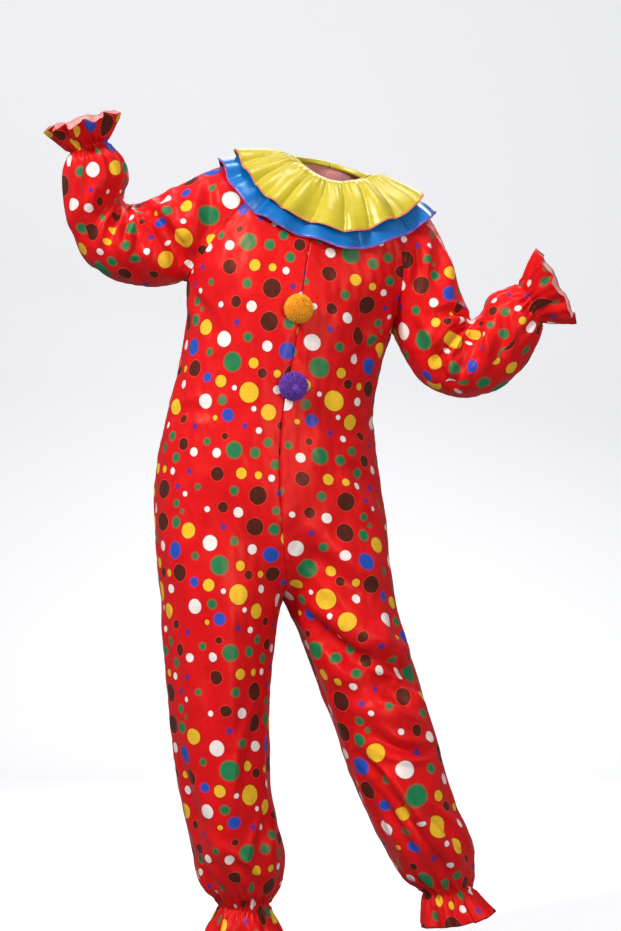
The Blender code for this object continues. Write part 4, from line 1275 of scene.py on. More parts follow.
    @staticmethod
    def drawn_back(sheet: Sheet) -> np.ndarray:
        """The sheet's points, drawn back from its seams and from the neckline."""
        points = sheet.points.copy()
        if sheet.wraps:
            inward = unit(points[1] - points[0])
            step = np.full(len(inward), SEAM_SETBACK)
            neck = slice(RAGLAN_ROWS * RAGLAN_SPLIT, (RAGLAN_ROWS + NECK_COLUMNS) * RAGLAN_SPLIT + 1)
            step[neck] = NECK_SETBACK
            points[0] += inward * step[:, None]
            return points
        points[0] += unit(points[1] - points[0]) * NECK_SETBACK
        for edge, inside in ((0, 1), (-1, -2)):
            points[:, edge] += unit(points[:, inside] - points[:, edge]) * SEAM_SETBACK
        return points

    def build(self) -> None:
        """Lofts, creases and gathers the panels and sleeves."""
        coarse, torso = self.coarse()
        self.cut_cloth()
        fine = self.fine_panels(coarse, torso)
        for name in SIDES:
            fine["sleeve_" + name] = self.fine_sleeve(name, coarse["sleeve_" + name], fine)
        names = list(coarse)
        sheets = [coarse[name].moved(fine[name][0]) for name in names]
        sheets = self.shaped(self.shaped(sheets, BIG_FOLDS), CREASES)
        finished = []
        for name, sheet, normal in zip(names, sheets, shared_normals(sheets)):
            _, stations, places = fine[name]
            shift = self.gather_shift(name, sheet, (places - stations[ELASTIC_STATION])[:, None])
            calm = self.off_raglan(sheet)
            for size, height, seed in RUMPLES:
                shift = shift + calm * rumples(sheet.points, size, height, seed)
            finished.append(sheet.moved(sheet.points + normal * shift[..., None]))
            self.place_print(name, RAGLAN_SPLIT if sheet.wraps else COLUMN_SPLIT, stations, places)
            past = (places[-1] - places)[:, None].repeat(sheet.points.shape[1], axis=1)
            self.hems[name] = np.exp(-((past / HEM_EDGE) ** 2))
        for name, sheet, normal in zip(names, finished, shared_normals(finished)):
            dip = self.seam_dip(sheet)
            self.sheets[name] = sheet.moved(sheet.points + normal * dip[..., None])
            self.normals[name] = normal

    def dress(self) -> None:
        """Makes each piece a cloth object, laid on the print as it was cut, and hides its solid."""
        for name, sheet in self.sheets.items():
            outer = sheet.moved(self.drawn_back(sheet))
            label = name + "_cloth" if sheet.wraps else name.replace("_", "_panel_")
            piece = sewn(label, outer, self.prints[name], self.hems[name], self.printed)
            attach(piece, "root")
            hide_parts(name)

    def sew_sleeves(self, thread: bpy.types.Material) -> None:
        """The ridge of each sleeve's own seam, from its armhole to its hem."""
        for name in SIDES:
            node = "sleeve_" + name
            inward = self.normals[node][2:-1, 0] * SLEEVE_SEAM_SINK
            line = self.sheets[node].points[2:-1, 0] - inward
            radii = np.full(len(line), SLEEVE_SEAM_RADIUS)
            seam_tube = joined_tubes(node + "_seam", line[None], radii, 5)
            seam_tube.data.materials.append(thread)
            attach(seam_tube, "root")


def facing_out(points: np.ndarray, outward: np.ndarray) -> int:
    """1 if a grid's facets already face along outward, and -1 if they face the other way."""
    a, b = points[1:, :-1] - points[:-1, :-1], points[:-1, 1:] - points[:-1, :-1]
    return 1 if (np.cross(b, a) * outward[:-1, :-1]).sum() > 0 else -1


def between(line: np.ndarray, stations: np.ndarray, at: np.ndarray | float) -> np.ndarray:
    """The points at these places on the straight runs between a line's stations."""
    return np.stack([np.interp(at, stations, line[:, axis]) for axis in range(3)], axis=-1)


def strip_places(width: float, length: float, rows: int, columns: int) -> np.ndarray:
    """Places across and down a straight strip of cloth, for each point of its grid."""
    across, down = np.meshgrid(np.linspace(0, width, columns), np.linspace(0, length, rows))
    return np.stack([across, down], axis=-1)


def row_length(points: np.ndarray) -> float:
    """The length of a row of points."""
    return float(stations_of(points)[-1])


@dataclass(frozen=True)
class Pleat:
    """A collar pleat's crease: its angle at the neck and at the hem, and the height of its tube."""

    neck: float
    hem: float
    height: float


YELLOW_PLEATS = (
    Pleat(-178, -178, 0.0080), Pleat(-158, -155, 0.0100), Pleat(-136, -131, 0.0075),
    Pleat(-114, -112, 0.0110), Pleat(-92, -86, 0.0090), Pleat(-72, -66, 0.0105),
    Pleat(-52, -46, 0.0120), Pleat(-24, -23, 0.0085), Pleat(-4, -8, 0.0065), Pleat(14, 7, 0.0115),
    Pleat(34, 25, 0.0095), Pleat(52, 42, 0.0120), Pleat(76, 68, 0.0100), Pleat(98, 93, 0.0110),
    Pleat(120, 116, 0.0080), Pleat(138, 138, 0.0105), Pleat(158, 159, 0.0090),
    Pleat(178, 178, 0.0),
)


COLLAR_CLOTH = 0.0008
COLLAR_EDGE = 0.0016        # how far the overlocked edge shows at a collar hem
OVERLOCK_STEP = 0.0026
BINDING_CLOTH = 0.0005
BINDING_PROFILE = (         # height above the neckline and how far out, from inside to outside
    (-0.0050, 0.0000), (-0.0025, 0.0006), (0.0000, 0.0010), (0.0025, 0.0008), (0.0042, 0.0002),
    (0.0050, -0.0010), (0.0044, -0.0022), (0.0025, -0.0027), (-0.0005, -0.0029), (-0.0045, -0.0029),
)


@dataclass
class Collar:
    """Two satin ruffles, gathered at the neck and lying on the shoulders, and their binding."""

    yellow: tuple[bpy.types.Material, bpy.types.Material]
    blue: tuple[bpy.types.Material, bpy.types.Material]
    coral_thread: bpy.types.Material
    plum_thread: bpy.types.Material
    columns: int = 48
    split: int = 9
    opening: float = math.radians(0.35)
    march: float = 0.004
    stand: float = 0.020
    blue_width: float = 0.122
    march_width: float = 0.152
    front_ease: float = 0.20
    yellow_width: float = 0.088
    clear: float = 0.0040
    ply: float = 0.0024
    blue_wave: float = 0.0125
    blue_ripple: float = 0.0036
    row_step: float = 0.0030

    def angles(self, count: int) -> np.ndarray:
        """Angles from one side of the back slit to the other, 0 at centre front."""
        return np.linspace(-math.pi + self.opening, math.pi - self.opening, count + 1)

    def drape(self, tree: BVHTree) -> tuple[np.ndarray, np.ndarray]:
        """Marches from the neckline outwards over the shoulders.

        Args:
            tree: the suit's surface.

        Returns:
            Points and normals: rows away from the neck, finer columns round it.
        """
        lines = []
        for angle in self.angles(self.columns):
            point, outward = neckline(angle)
            place, heading = Vector(point + outward * NECK_SETBACK), Vector(outward)
            path, travelled = [(np.array(place), neck_axis())], 0.0
            while travelled < self.march_width - 1e-9:
                step = min(self.march, self.march_width - travelled)
                hit, normal, _, _ = tree.find_nearest(place + heading * step)
                if normal.dot(Vector(outward)) + normal.z < 0:
                    normal = -normal
                heading, place = (hit - place).normalized(), hit
                travelled += step
                path.append((np.array(hit), np.array(normal)))
            lines.append(path)
        places = np.array(lines)
        for _ in range(4):
            places[1:-1] = (places[:-2] + 2 * places[1:-1] + places[2:]) / 4
        places[:, :, 1] = unit(places[:, :, 1])
        for line in places:
            for index, (point, normal) in enumerate(line):
                hit, _, _, _ = tree.find_nearest(Vector(point))
                if (point - np.array(hit)) @ normal < 0:
                    line[index, 0] = hit
        points = open_finer(places[:, :, 0].transpose(1, 0, 2), self.split)
        normals = unit(open_finer(places[:, :, 1].transpose(1, 0, 2), self.split))
        return points, normals

    def blue_height(self, share: np.ndarray, angles: np.ndarray) -> np.ndarray:
        """Height of the blue ruffle's broad waves over the shoulders."""
        wander = 0.9 * np.sin(2 * angles + 0.6) + 0.6 * np.sin(3 * angles + 2.0)
        wave = 0.5 + 0.5 * np.sin(12 * angles + wander)
        small = 0.5 + 0.5 * np.sin(23 * angles + 2.2 * wander + 1.0)
        risen = 0.0006 + self.clear * eased(share, 0.0, 0.16)
        return risen + share**1.2 * (self.blue_wave * wave**0.8 + self.blue_ripple * small)

    def yellow_height(self, share: np.ndarray, angles: np.ndarray) -> np.ndarray:
        """Height of the yellow ruffle's tubes above the blue one, and of its gathers at the neck."""
        turned = np.degrees(angles)
        height = np.zeros(np.broadcast(share, angles).shape)
        for first, last in zip(YELLOW_PLEATS[:-1], YELLOW_PLEATS[1:]):
            start = first.neck + (first.hem - first.neck) * share
            end = last.neck + (last.hem - last.neck) * share
            place = (turned - start) / (end - start)
            inside = (place > 0) & (place < 1)
            tube = np.sin(np.pi * np.clip(place, 0, 1)) ** 0.70
            height = np.where(inside, first.height * 1.3 * share**0.6 * tube, height)
        gathers = 0.5 + 0.5 * np.sin(66 * angles + 2.5 * np.sin(5 * angles))
        fade = np.exp(-((share / 0.30) ** 2))
        risen = 0.0004 + self.ply * eased(share, 0.0, 0.20)
        return risen + height + 0.0016 * gathers * fade * eased(share, 0.0, 0.05)

    def ruffle(self, drape: tuple, width: float, top: bool) -> np.ndarray:
        """The points of one ruffle: rows from the neck to its hem."""
        points, normals = drape
        angles = self.angles(self.columns * self.split)[None]
        rows = int(round(width / self.row_step))
        shares = np.linspace(0, 1, rows + 1)[:, None]
        marched = np.concatenate([np.arange(len(points) - 1) * self.march, [self.march_width]])
        front = (0.5 + 0.5 * np.cos(angles)) ** 2
        ease = self.front_ease if top else self.front_ease * 0.5
        uneven = 0.012 * np.sin(7 * angles + 1.0) + 0.010 * np.sin(17 * angles)
        reach = width * (1 + uneven + ease * front)
        reach = np.minimum(reach, self.march_width - self.march)
        distance = shares * reach
        at_rows = np.clip(distance / self.march, 0, len(points) - 1 - 1e-6)
        low = at_rows.astype(int)
        part = (distance - marched[low]) / (marched[low + 1] - marched[low])
        column = np.broadcast_to(np.arange(points.shape[1])[None], low.shape)
        part = np.clip(part, 0, 1)[..., None]
        place = points[low, column] * (1 - part) + points[low + 1, column] * part
        normal = unit(normals[low, column] * (1 - part) + normals[low + 1, column] * part)
        lean = np.minimum(distance / self.stand, 1.0)[..., None]
        way = unit(neck_axis() * (1 - lean) + normal * lean)
        height = self.blue_height(distance / self.blue_width, angles)
        if top:
            height = height + CLOTH + self.yellow_height(shares, angles)
        return place + way * (height + CLOTH)[..., None]

    @staticmethod
    def make_ruffle(
        name: str, points: np.ndarray, outward: np.ndarray, width: float, materials: tuple
    ) -> bpy.types.Object:
        """Sews one ruffle: a straight strip as long as its hem, gathered to the neck."""
        hem = row_length(points[-1])
        prints = strip_places(hem, width, *points.shape[:2])
        edge = np.exp(-(((width - prints[..., 1]) / COLLAR_EDGE) ** 2))
        sheet = Sheet(points, False, facing_out(points, outward))
        piece = sewn(name, sheet, prints, edge, materials, COLLAR_CLOTH)
        LOG.info("%s: cut %.3f x %.3f m", name, hem, width)
        return piece

    @staticmethod
    def edging(
        name: str, points: np.ndarray, outward: np.ndarray, material: bpy.types.Material, slot: str
    ) -> None:
        """Overlock stitches over a ruffle's hem."""
        hem, inner, up = points[-1], points[-2], outward[-1]
        stations = stations_of(hem)
        count = int(stations[-1] / OVERLOCK_STEP)
        at = np.linspace(0.001, stations[-1] - 0.003, count)
        edge = between(hem, stations, at)
        inside = unit(between(inner - hem, stations, at))
        rise = unit(between(up, stations, at))
        run = unit(np.gradient(edge, axis=0))
        path = np.stack([
            edge + inside * 0.0030 + rise * 0.0001,
            edge + inside * 0.0016 + rise * 0.0004 + run * 0.0005,
            edge - inside * 0.0003 + rise * 0.0002 + run * 0.0011,
            edge - inside * 0.0003 - rise * 0.0011 + run * 0.0014,
        ], axis=1)
        threads = joined_tubes(name, path, np.full(4, 0.00046), 4)
        looper = (edge - inside * 0.0002 - rise * 0.0003)[None]
        loop = joined_tubes(name + "_loop", looper, np.full(len(edge), 0.00055), 5)
        for piece in (threads, loop):
            piece.data.materials.append(material)
        select(threads, loop)
        bpy.ops.object.join()
        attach(threads, "root")

    def binding(self, materials: tuple) -> None:
        """The narrow folded band round the neck."""
        angles = self.angles(self.columns * 5)
        rows = []
        for height, puff in BINDING_PROFILE:
            row = []
            for angle in angles:
                point, outward = neckline(angle)
                shirr = 0.00035 * math.sin(96 * angle + 2 * math.sin(7 * angle)) * (height < 0.004)
                row.append(point + neck_axis() * height + outward * (puff - 0.0006 + shirr))
            rows.append(row)
        points = np.array(rows)
        outward = np.array([[neckline(angle)[1] for angle in angles]] * len(rows))
        sheet = Sheet(points, False, facing_out(points[:4], outward[:4]))
        long, tall = row_length(points[2]), row_length(points[:, 0])
        prints = strip_places(long, tall, *points.shape[:2])
        piece = sewn("neck_band", sheet, prints, np.zeros(points.shape[:2]), materials, BINDING_CLOTH)
        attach(piece, "root")
        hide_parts("neck_binding")

    def build(self, body: SuitBody) -> None:
        """Drapes and dresses both ruffles, their edging and the binding."""
        vertices, faces = [], []
        for sheet in body.sheets.values():
            rows, columns = sheet.points.shape[:2]
            quads = quads_of(rows, columns, sheet.wraps)
            faces += (quads[:, :: sheet.flip] + len(vertices)).tolist()
            vertices += sheet.points.reshape(-1, 3).tolist()
        tree = BVHTree.FromPolygons(vertices, faces)
        drape = self.drape(tree)
        outward = np.broadcast_to(drape[1][len(drape[1]) // 2], drape[1][0].shape)
        for tint, width, materials, thread in (
            ("blue", self.blue_width, self.blue, self.plum_thread),
            ("yellow", self.yellow_width, self.yellow, self.coral_thread),
        ):
            name, node, slot = tint + "_ruffle", "collar_" + tint, tint + "_satin"
            points = self.ruffle(drape, width, tint == "yellow")
            up = np.broadcast_to(outward, points.shape)
            piece = self.make_ruffle(name, points, up, width, materials)
            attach(piece, "root")
            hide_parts(node)
            self.edging(name + "_edging", points, up, thread, slot)
            LOG.info("%s: %d rows", name, len(points))
        self.binding(self.yellow)


@dataclass
class BackLap:
    """The strip that laps over the centre-back slit, with its two rows of stitches."""

    printed: tuple[bpy.types.Material, bpy.types.Material]
    thread: bpy.types.Material
    half_width: float = 0.015
    end_z: float = -0.420
    lift: float = 0.0004
    stitch_gap: float = 0.0042
    stitch_radius: float = 0.00028

    def build(self, body: SuitBody) -> None:
        """Lays the strip on the back panels."""
        right, left = body.sheets["back_right"].points, body.sheets["back_left"].points
        rows = [row for row in range(2, len(right)) if right[row, 0, 2] > self.end_z][::2]
        offsets = np.linspace(-self.half_width, self.half_width, 13)
        points, normals = [], []
        for row in rows:
            both, facing = [], []
            for offset in offsets:
                panel = "back_right" if offset < 0 else "back_left"
                line, normal = body.sheets[panel].points[row], body.normals[panel][row]
                stations = stations_of(line)
                both.append(between(line, stations, abs(offset)))
                facing.append(between(normal, stations, abs(offset)))
            points.append(both)
            normals.append(facing)
        normal = unit(np.array(normals))
        arch = 1 - (offsets / self.half_width) ** 6
        lifted = np.array(points) + normal * (self.lift + 0.0010 + 0.0010 * arch[None, :, None] ** 0.5)
        down = stations_of(lifted[:, 6])
        prints = np.stack(np.broadcast_arrays(offsets[None] + 0.06, down[:, None] + 0.05), axis=-1)
        sheet = Sheet(lifted, False, facing_out(lifted, normal))
        piece = sewn("back_closure", sheet, prints, np.zeros(lifted.shape[:2]), self.printed)
        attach(piece, "root")
        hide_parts("back_lap")
        stitches = []
        steps = np.array([0, 0.0010, 0.0021, 0.0031])
        for column in (1, 11):
            line = lifted[:, column] + normal[:, column] * 0.00025
            for start in np.arange(0.004, down[-1] - 0.006, self.stitch_gap):
                stitches.append(between(line, down, start + steps))
        paths = np.array(stitches)
        paths[:, [0, 3]] -= normal[len(normal) // 2, 6] * 0.0005
        radii = np.full(len(steps), self.stitch_radius)
        sewing = joined_tubes("back_closure_stitches", paths, radii, 4)
        sewing.data.materials.append(self.thread)
        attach(sewing, "root")


YARN_REACH = 1.62           # how far round the core the strands go, 2 for all of a ball
YARN_SEAT = 0.55            # depth of the tie under the dome's top
YARN_ROOT = 0.45            # where a strand starts, between the tie and its tip
YARN_LONGEST = 1.06
YARN_RADII = (0.00042, 0.00046, 0.00050, 0.00030)


@dataclass
class Pompom:
    """A pompom: cut yarn round a tied core, trimmed to a low dome."""

    node: str
    slot: str
    material: bpy.types.Material
    fluff: float
    seed: int
    dimple: float
    strands: int = 3000

    def build(self) -> None:
        """Makes the yarn and its core in the space of the pompom's solid."""
        low, high = (np.array(corner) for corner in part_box(self.node))
        middle = (low + high) / 2
        radius = (high[0] - low[0]) / 2
        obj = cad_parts[self.node]
        shape = np.array([obj.matrix_world @ vertex.co for vertex in obj.data.vertices]) - middle
        facing = np.linalg.svd(shape - shape.mean(axis=0), full_matrices=False)[2][-1]
        facing = facing if facing[1] < 0 else -facing
        dome = (shape @ facing).max()
        aside = unit(np.cross(facing, np.array([0.0, 0.0, 1.0])))
        over = np.cross(aside, facing)
        draw = np.random.default_rng(self.seed)
        index = np.arange(self.strands) + 0.5
        lift = 1 - YARN_REACH * index / self.strands
        turn = np.pi * (1 + 5**0.5) * index + draw.normal(0, 0.05, self.strands)
        flat = np.sqrt(1 - np.minimum(lift**2, 1))
        ray = aside * (flat * np.cos(turn))[:, None] + over * (flat * np.sin(turn))[:, None]
        tip = ray * radius + facing * (lift * dome)[:, None]
        hollow = self.dimple * np.exp(-((flat / 0.30) ** 2)) * (lift > 0)
        tip -= facing * (hollow * dome)[:, None]
        seat = middle - facing * dome * YARN_SEAT
        length = 1 + draw.normal(0, self.fluff, self.strands)
        tips = middle + tip * np.minimum(length, YARN_LONGEST)[:, None]
        roots = seat + (tips - seat) * YARN_ROOT
        bend = draw.normal(0, self.fluff * 0.035, (self.strands, 3))
        paths = np.stack([
            roots,
            roots * 0.62 + tips * 0.38 + bend,
            roots * 0.28 + tips * 0.72 + bend * 1.6,
            tips,
        ], axis=1)
        yarn = joined_tubes(self.node + "_yarn", paths, np.array(YARN_RADII), 3)
        yarn.data.materials.append(self.material)
        bpy.ops.object.select_all(action="DESELECT")
        bpy.ops.mesh.primitive_uv_sphere_add(segments=48, ring_count=24, radius=radius * 0.86)
        core = bpy.context.object
        core.name = self.node + "_core"
        core.data.name = core.name
        with whole_mesh():
            bpy.ops.transform.resize(value=(1, 1, dome * 0.9 / radius))
        turned = Vector(facing).to_track_quat("Z", "Y").to_matrix().to_4x4()
        turned.translation = Vector(middle - facing * dome * 0.06)
        core.data.transform(turned)
        core.data.shade_smooth()
        core.data.materials.append(self.material)
        for piece in (yarn, core):
            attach(piece, "root")
        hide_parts(self.node)
        LOG.info("%s: %d strands", self.node, self.strands)


Socket = bpy.types.NodeSocket


@dataclass
class Board:
    """A node tree with short ways to add and join its nodes."""

    tree: bpy.types.NodeTree

    def add(self, kind: str, inputs: dict | None = None, **settings) -> bpy.types.Node:
        """Adds a node.

        Args:
            kind: the node's type, without its ShaderNode prefix.
            inputs: values or sockets for its inputs, by name or number.
            settings: its other settings.

        Returns:
            The node.
        """
        node = self.tree.nodes.new("ShaderNode" + kind)
        for name, value in settings.items():
            setattr(node, name, value)
        return self.feed(node, inputs or {})

    def feed(self, node: bpy.types.Node, inputs: dict) -> bpy.types.Node:
        """Gives a node its inputs: sockets are joined, and values are set."""
        for name, value in inputs.items():
            if isinstance(value, bpy.types.NodeSocket):
                self.tree.links.new(value, node.inputs[name])
            else:
                node.inputs[name].default_value = value
        return node

    def math(self, operation: str, first, second=0.0) -> Socket:
        """The result of one sum."""
        return self.add("Math", {0: first, 1: second}, operation=operation).outputs[0]

    def vector(self, operation: str, first: Socket, second: tuple | Socket, third=None) -> Socket:
        """The result of one vector sum."""
        inputs = {0: first, 1: second} if third is None else {0: first, 1: second, 2: third}
        return self.add("VectorMath", inputs, operation=operation).outputs[0]

    def scaled(self, vector: Socket, scale: float) -> Socket:
        """A vector times a number."""
        return self.add("VectorMath", {0: vector, 3: scale}, operation="SCALE").outputs[0]

    def mask(self, value: Socket, start: float, end: float, low: float, high: float) -> Socket:
        """low at start and high at end, with an eased step between."""
        inputs = {"Value": value, "From Min": start, "From Max": end, "To Min": low, "To Max": high}
        return self.add("MapRange", inputs, interpolation_type="SMOOTHSTEP").outputs[0]

    def mix(self, share, first, second) -> Socket:
        """One colour over another."""
        return self.add("Mix", {0: share, 6: first, 7: second}, data_type="RGBA").outputs[2]

    def noise(self, vector: Socket, scale: float, detail: float = 2.0) -> Socket:
        """Soft noise, 0 to 1."""
        inputs = {"Vector": vector, "Scale": scale, "Detail": detail}
        return self.add("TexNoise", inputs).outputs[0]


def colour(red: int, green: int, blue: int) -> tuple[float, float, float, float]:
    """A screen colour as the linear colour that the shaders read."""
    linear = [
        ((part / 255 + 0.055) / 1.055) ** 2.4 if part > 10 else part / 3294.6
        for part in (red, green, blue)
    ]
    return (*linear, 1.0)


def new_group(name: str, outputs: dict[str, str]) -> tuple[Board, Socket, bpy.types.Node]:
    """A new shader node group, which takes a place on the cloth.

    Args:
        name: the group's name.
        outputs: the kind of each output socket.

    Returns:
        Its board, the place it is given and the node that takes its results.
    """
    tree = bpy.data.node_groups.new(name, "ShaderNodeTree")
    tree.interface.new_socket(name="Place", in_out="INPUT", socket_type="NodeSocketVector")
    for label, kind in outputs.items():
        tree.interface.new_socket(name=label, in_out="OUTPUT", socket_type="NodeSocket" + kind)
    start = tree.nodes.new("NodeGroupInput")
    return Board(tree), start.outputs["Place"], tree.nodes.new("NodeGroupOutput")


def new_material(name: str) -> tuple[bpy.types.Material, Board, bpy.types.Node]:
    """A new material, its board and its surface node."""
    material = bpy.data.materials.new(name)
    material.use_nodes = True
    return material, Board(material.node_tree), material.node_tree.nodes["Principled BSDF"]


@dataclass(frozen=True)
class InkLook:
    """How an ink prints: its colour, how soft its edge is, and its rim and outline in millimetres."""

    fill: tuple[float, float, float, float]
    soft: float = 0.45
    rim: tuple[float, float, float, float] | None = None
    rim_width: float = 0.0
    outline: tuple[float, float, float, float] | None = None
    outline_width: float = 0.0


RED_GROUND = colour(206, 18, 24)
INKS = {
    Ink.BROWN: InkLook(colour(72, 32, 24), 0.5, colour(105, 20, 14), 0.5, colour(235, 70, 55), 0.9),
    Ink.PURPLE: InkLook(colour(84, 44, 132), 1.3),
    Ink.GREEN: InkLook(colour(12, 116, 72), 2.9),
    Ink.BLUE: InkLook(colour(18, 76, 170), 2.0),
    Ink.WHITE: InkLook(colour(232, 220, 214), 0.5, colour(226, 150, 145), 0.8, colour(110, 6, 8), 0.9),
    Ink.YELLOW: InkLook(colour(224, 178, 44), 0.4, colour(226, 128, 40), 0.9, colour(90, 8, 8), 1.0),
}


class DotPrint:
    """The printed cloth's pattern: a repeat of dots in six inks on red."""

    @staticmethod
    def group() -> bpy.types.NodeTree:
        """The print as a node group, from a place on the cloth in metres to its colour."""
        board, given, result = new_group("dot_print", {"Colour": "Color"})
        scaled = board.scaled(given, 1000.0)
        wobble = board.add("TexNoise", {"Vector": scaled, "Scale": 0.35, "Detail": 2.0})
        shift = board.vector("SUBTRACT", wobble.outputs[1], (0.5, 0.5, 0.5))
        place = board.vector("ADD", scaled, board.vector("MULTIPLY", shift, (0.9, 0.9, 0.0)))
        half = (REPEAT_WIDTH / 2, REPEAT_LENGTH / 2, 1.0)
        shown: Socket | tuple = RED_GROUND
        for ink, dots in DOT_CHART.items():
            nearest = None
            for across, down, radius in dots:
                gap = board.vector("SUBTRACT", place, (across, down, 0.0))
                gap = board.vector("WRAP", gap, half, tuple(-side for side in half))
                away = board.add("VectorMath", {0: gap}, operation="LENGTH").outputs["Value"]
                away = board.math("SUBTRACT", away, radius)
                nearest = away if nearest is None else board.math("MINIMUM", nearest, away)
            look = INKS[ink]
            if look.outline:
                start, end = look.outline_width - 0.3, look.outline_width + 0.5
                shown = board.mix(board.mask(nearest, start, end, 0.75, 0.0), shown, look.outline)
            if look.rim:
                edge = board.mask(nearest, -look.soft, look.soft, 1.0, 0.0)
                shown = board.mix(edge, shown, look.rim)
            start, end = -look.rim_width - look.soft, -look.rim_width + look.soft
            shown = board.mix(board.mask(nearest, start, end, 1.0, 0.0), shown, look.fill)
        board.feed(result, {"Colour": shown})
        return board.tree


THREADS = 2600.0            # threads to the metre


class SatinWeave:
    """Satin's weave: long floats across the cloth, with slubs and slight shading."""

    @staticmethod
    def group() -> bpy.types.NodeTree:
        """The weave as a node group: a height for its bump and a tone for its colour."""
        outputs = {"Height": "Float", "Tone": "Float", "Gloss": "Float"}
        board, given, result = new_group("satin_weave", outputs)
        floats = board.vector("MULTIPLY", board.scaled(given, THREADS), (0.22, 1.0, 1.0))
        threads = board.noise(floats, 1.0, 1.0)
        slubs = board.noise(board.vector("MULTIPLY", given, (18.0, 420.0, 1.0)), 1.0, 2.0)
        clouds = board.noise(given, 26.0, 3.0)
        fine, coarse = board.math("MULTIPLY", threads, 0.6), board.math("MULTIPLY", slubs, 0.4)
        shade = board.mask(clouds, 0.25, 0.75, 0.93, 1.05)
        streaks = board.mask(slubs, 0.3, 0.7, -0.03, 0.03)
        board.feed(result, {
            "Height": board.math("ADD", fine, coarse),
            "Tone": board.math("ADD", shade, streaks),
            "Gloss": board.mask(clouds, 0.3, 0.7, -0.035, 0.035),
        })
        return board.tree


@dataclass(frozen=True)
class Satin:
    """A satin finish: its colour, how smooth it is and the colour of its sheen."""

    name: str
    base: tuple[float, float, float, float]
    roughness: float
    sheen: float
    sheen_tint: tuple[float, float, float, float]
    specular: float
    anisotropic: float = 0.0
    bump: float = 0.12
    gleam: tuple[float, float, float, float] = (1.0, 1.0, 1.0, 1.0)
    hem: tuple[float, float, float, float] = (0.02, 0.0, 0.0, 1.0)
    reverse: tuple[float, float, float, float] | None = None
    printed: bool = False

    def material(self, groups: dict[str, bpy.types.NodeTree]) -> bpy.types.Material:
        """The finish as a material."""
        material, board, surface = new_material(self.name)
        place = board.add("UVMap", uv_map="print").outputs[0]
        weave = board.add("Group", node_tree=groups["satin_weave"])
        board.feed(weave, {"Place": place})
        shown: Socket | tuple = self.base
        if self.printed:
            pattern = board.add("Group", node_tree=groups["dot_print"])
            shown = board.feed(pattern, {"Place": place}).outputs["Colour"]
        if self.reverse:
            shown = board.mix(0.72, shown, self.reverse)
        tone = board.add("HueSaturation", {"Value": weave.outputs["Tone"], "Color": shown}).outputs[0]
        hem = board.add("Attribute", attribute_name="hem").outputs["Fac"]
        tone = board.mix(board.math("MULTIPLY", hem, 0.65), tone, self.hem)
        relief = {"Strength": self.bump, "Distance": 0.0003, "Height": weave.outputs["Height"]}
        board.feed(surface, {
            "Base Color": tone,
            "Roughness": board.math("ADD", weave.outputs["Gloss"], self.roughness),
            "Normal": board.add("Bump", relief).outputs[0],
            "Specular IOR Level": self.specular,
            "Sheen Weight": self.sheen,
            "Sheen Roughness": 0.35,
            "Sheen Tint": self.sheen_tint,
            "Specular Tint": self.gleam,
            "Anisotropic": self.anisotropic,
        })
        return material


@dataclass(frozen=True)
class Yarn:
    """A matt yarn or thread, with its own shading from strand to strand."""

    name: str
    base: tuple[float, float, float, float]
    deep: tuple[float, float, float, float]

    def material(self) -> bpy.types.Material:
        """The finish as a material."""
        material, board, surface = new_material(self.name)
        place = board.add("TexCoord").outputs["Object"]
        strands = board.noise(place, 900.0, 2.0)
        clumps = board.noise(place, 160.0, 2.0)
        fine, broad = board.mask(strands, 0.3, 0.7, 0.6, 1.0), board.mask(clumps, 0.3, 0.65, 0.7, 1.0)
        relief = {"Strength": 0.4, "Distance": 0.0002, "Height": strands}
        board.feed(surface, {
            "Base Color": board.mix(board.math("MULTIPLY", fine, broad), self.deep, self.base),
            "Normal": board.add("Bump", relief).outputs[0],
            "Roughness": board.mask(strands, 0.2, 0.8, 0.75, 0.95),
            "Sheen Weight": 0.5,
            "Sheen Roughness": 0.5,
            "Sheen Tint": self.base,
        })
        return material


RED_SATIN = Satin(
    "red_printed_satin", RED_GROUND, 0.40, 0.03, colour(255, 120, 90), 0.42, printed=True,
    gleam=colour(255, 130, 104), hem=colour(120, 10, 14),
)
RED_REVERSE = Satin(
    "red_printed_satin_reverse", RED_GROUND, 0.62, 0.05, colour(255, 200, 190), 0.3, printed=True,
    reverse=colour(240, 176, 172), hem=colour(110, 30, 30), bump=0.2,
)
YELLOW_SATIN = Satin(
    "yellow_satin", colour(182, 163, 34), 0.34, 0.02, colour(255, 250, 180), 0.7, 0.2,
    gleam=colour(255, 252, 215), hem=colour(214, 150, 60),
)
YELLOW_REVERSE = Satin(
    "yellow_satin_reverse", colour(214, 196, 60), 0.55, 0.1, colour(255, 250, 200), 0.3,
    hem=colour(190, 120, 30),
)
BLUE_SATIN = Satin(
    "blue_satin", colour(0, 98, 172), 0.28, 0.02, colour(150, 200, 255), 1.0, 0.2,
    gleam=colour(190, 230, 255), hem=colour(50, 40, 130),
)
BLUE_REVERSE = Satin(
    "blue_satin_reverse", colour(20, 80, 170), 0.55, 0.1, colour(150, 200, 255), 0.3,
    hem=colour(60, 20, 90),
)
ORANGE_YARN = Yarn("orange_yarn", colour(255, 188, 40), colour(248, 152, 20))
PURPLE_YARN = Yarn("purple_yarn", colour(126, 74, 190), colour(82, 40, 140))
CORAL_THREAD = Yarn("coral_thread", colour(236, 140, 96), colour(196, 84, 56))
PLUM_THREAD = Yarn("plum_thread", colour(176, 96, 186), colour(120, 52, 140))
RED_THREAD = Yarn("red_thread", colour(140, 10, 16), colour(96, 6, 10))


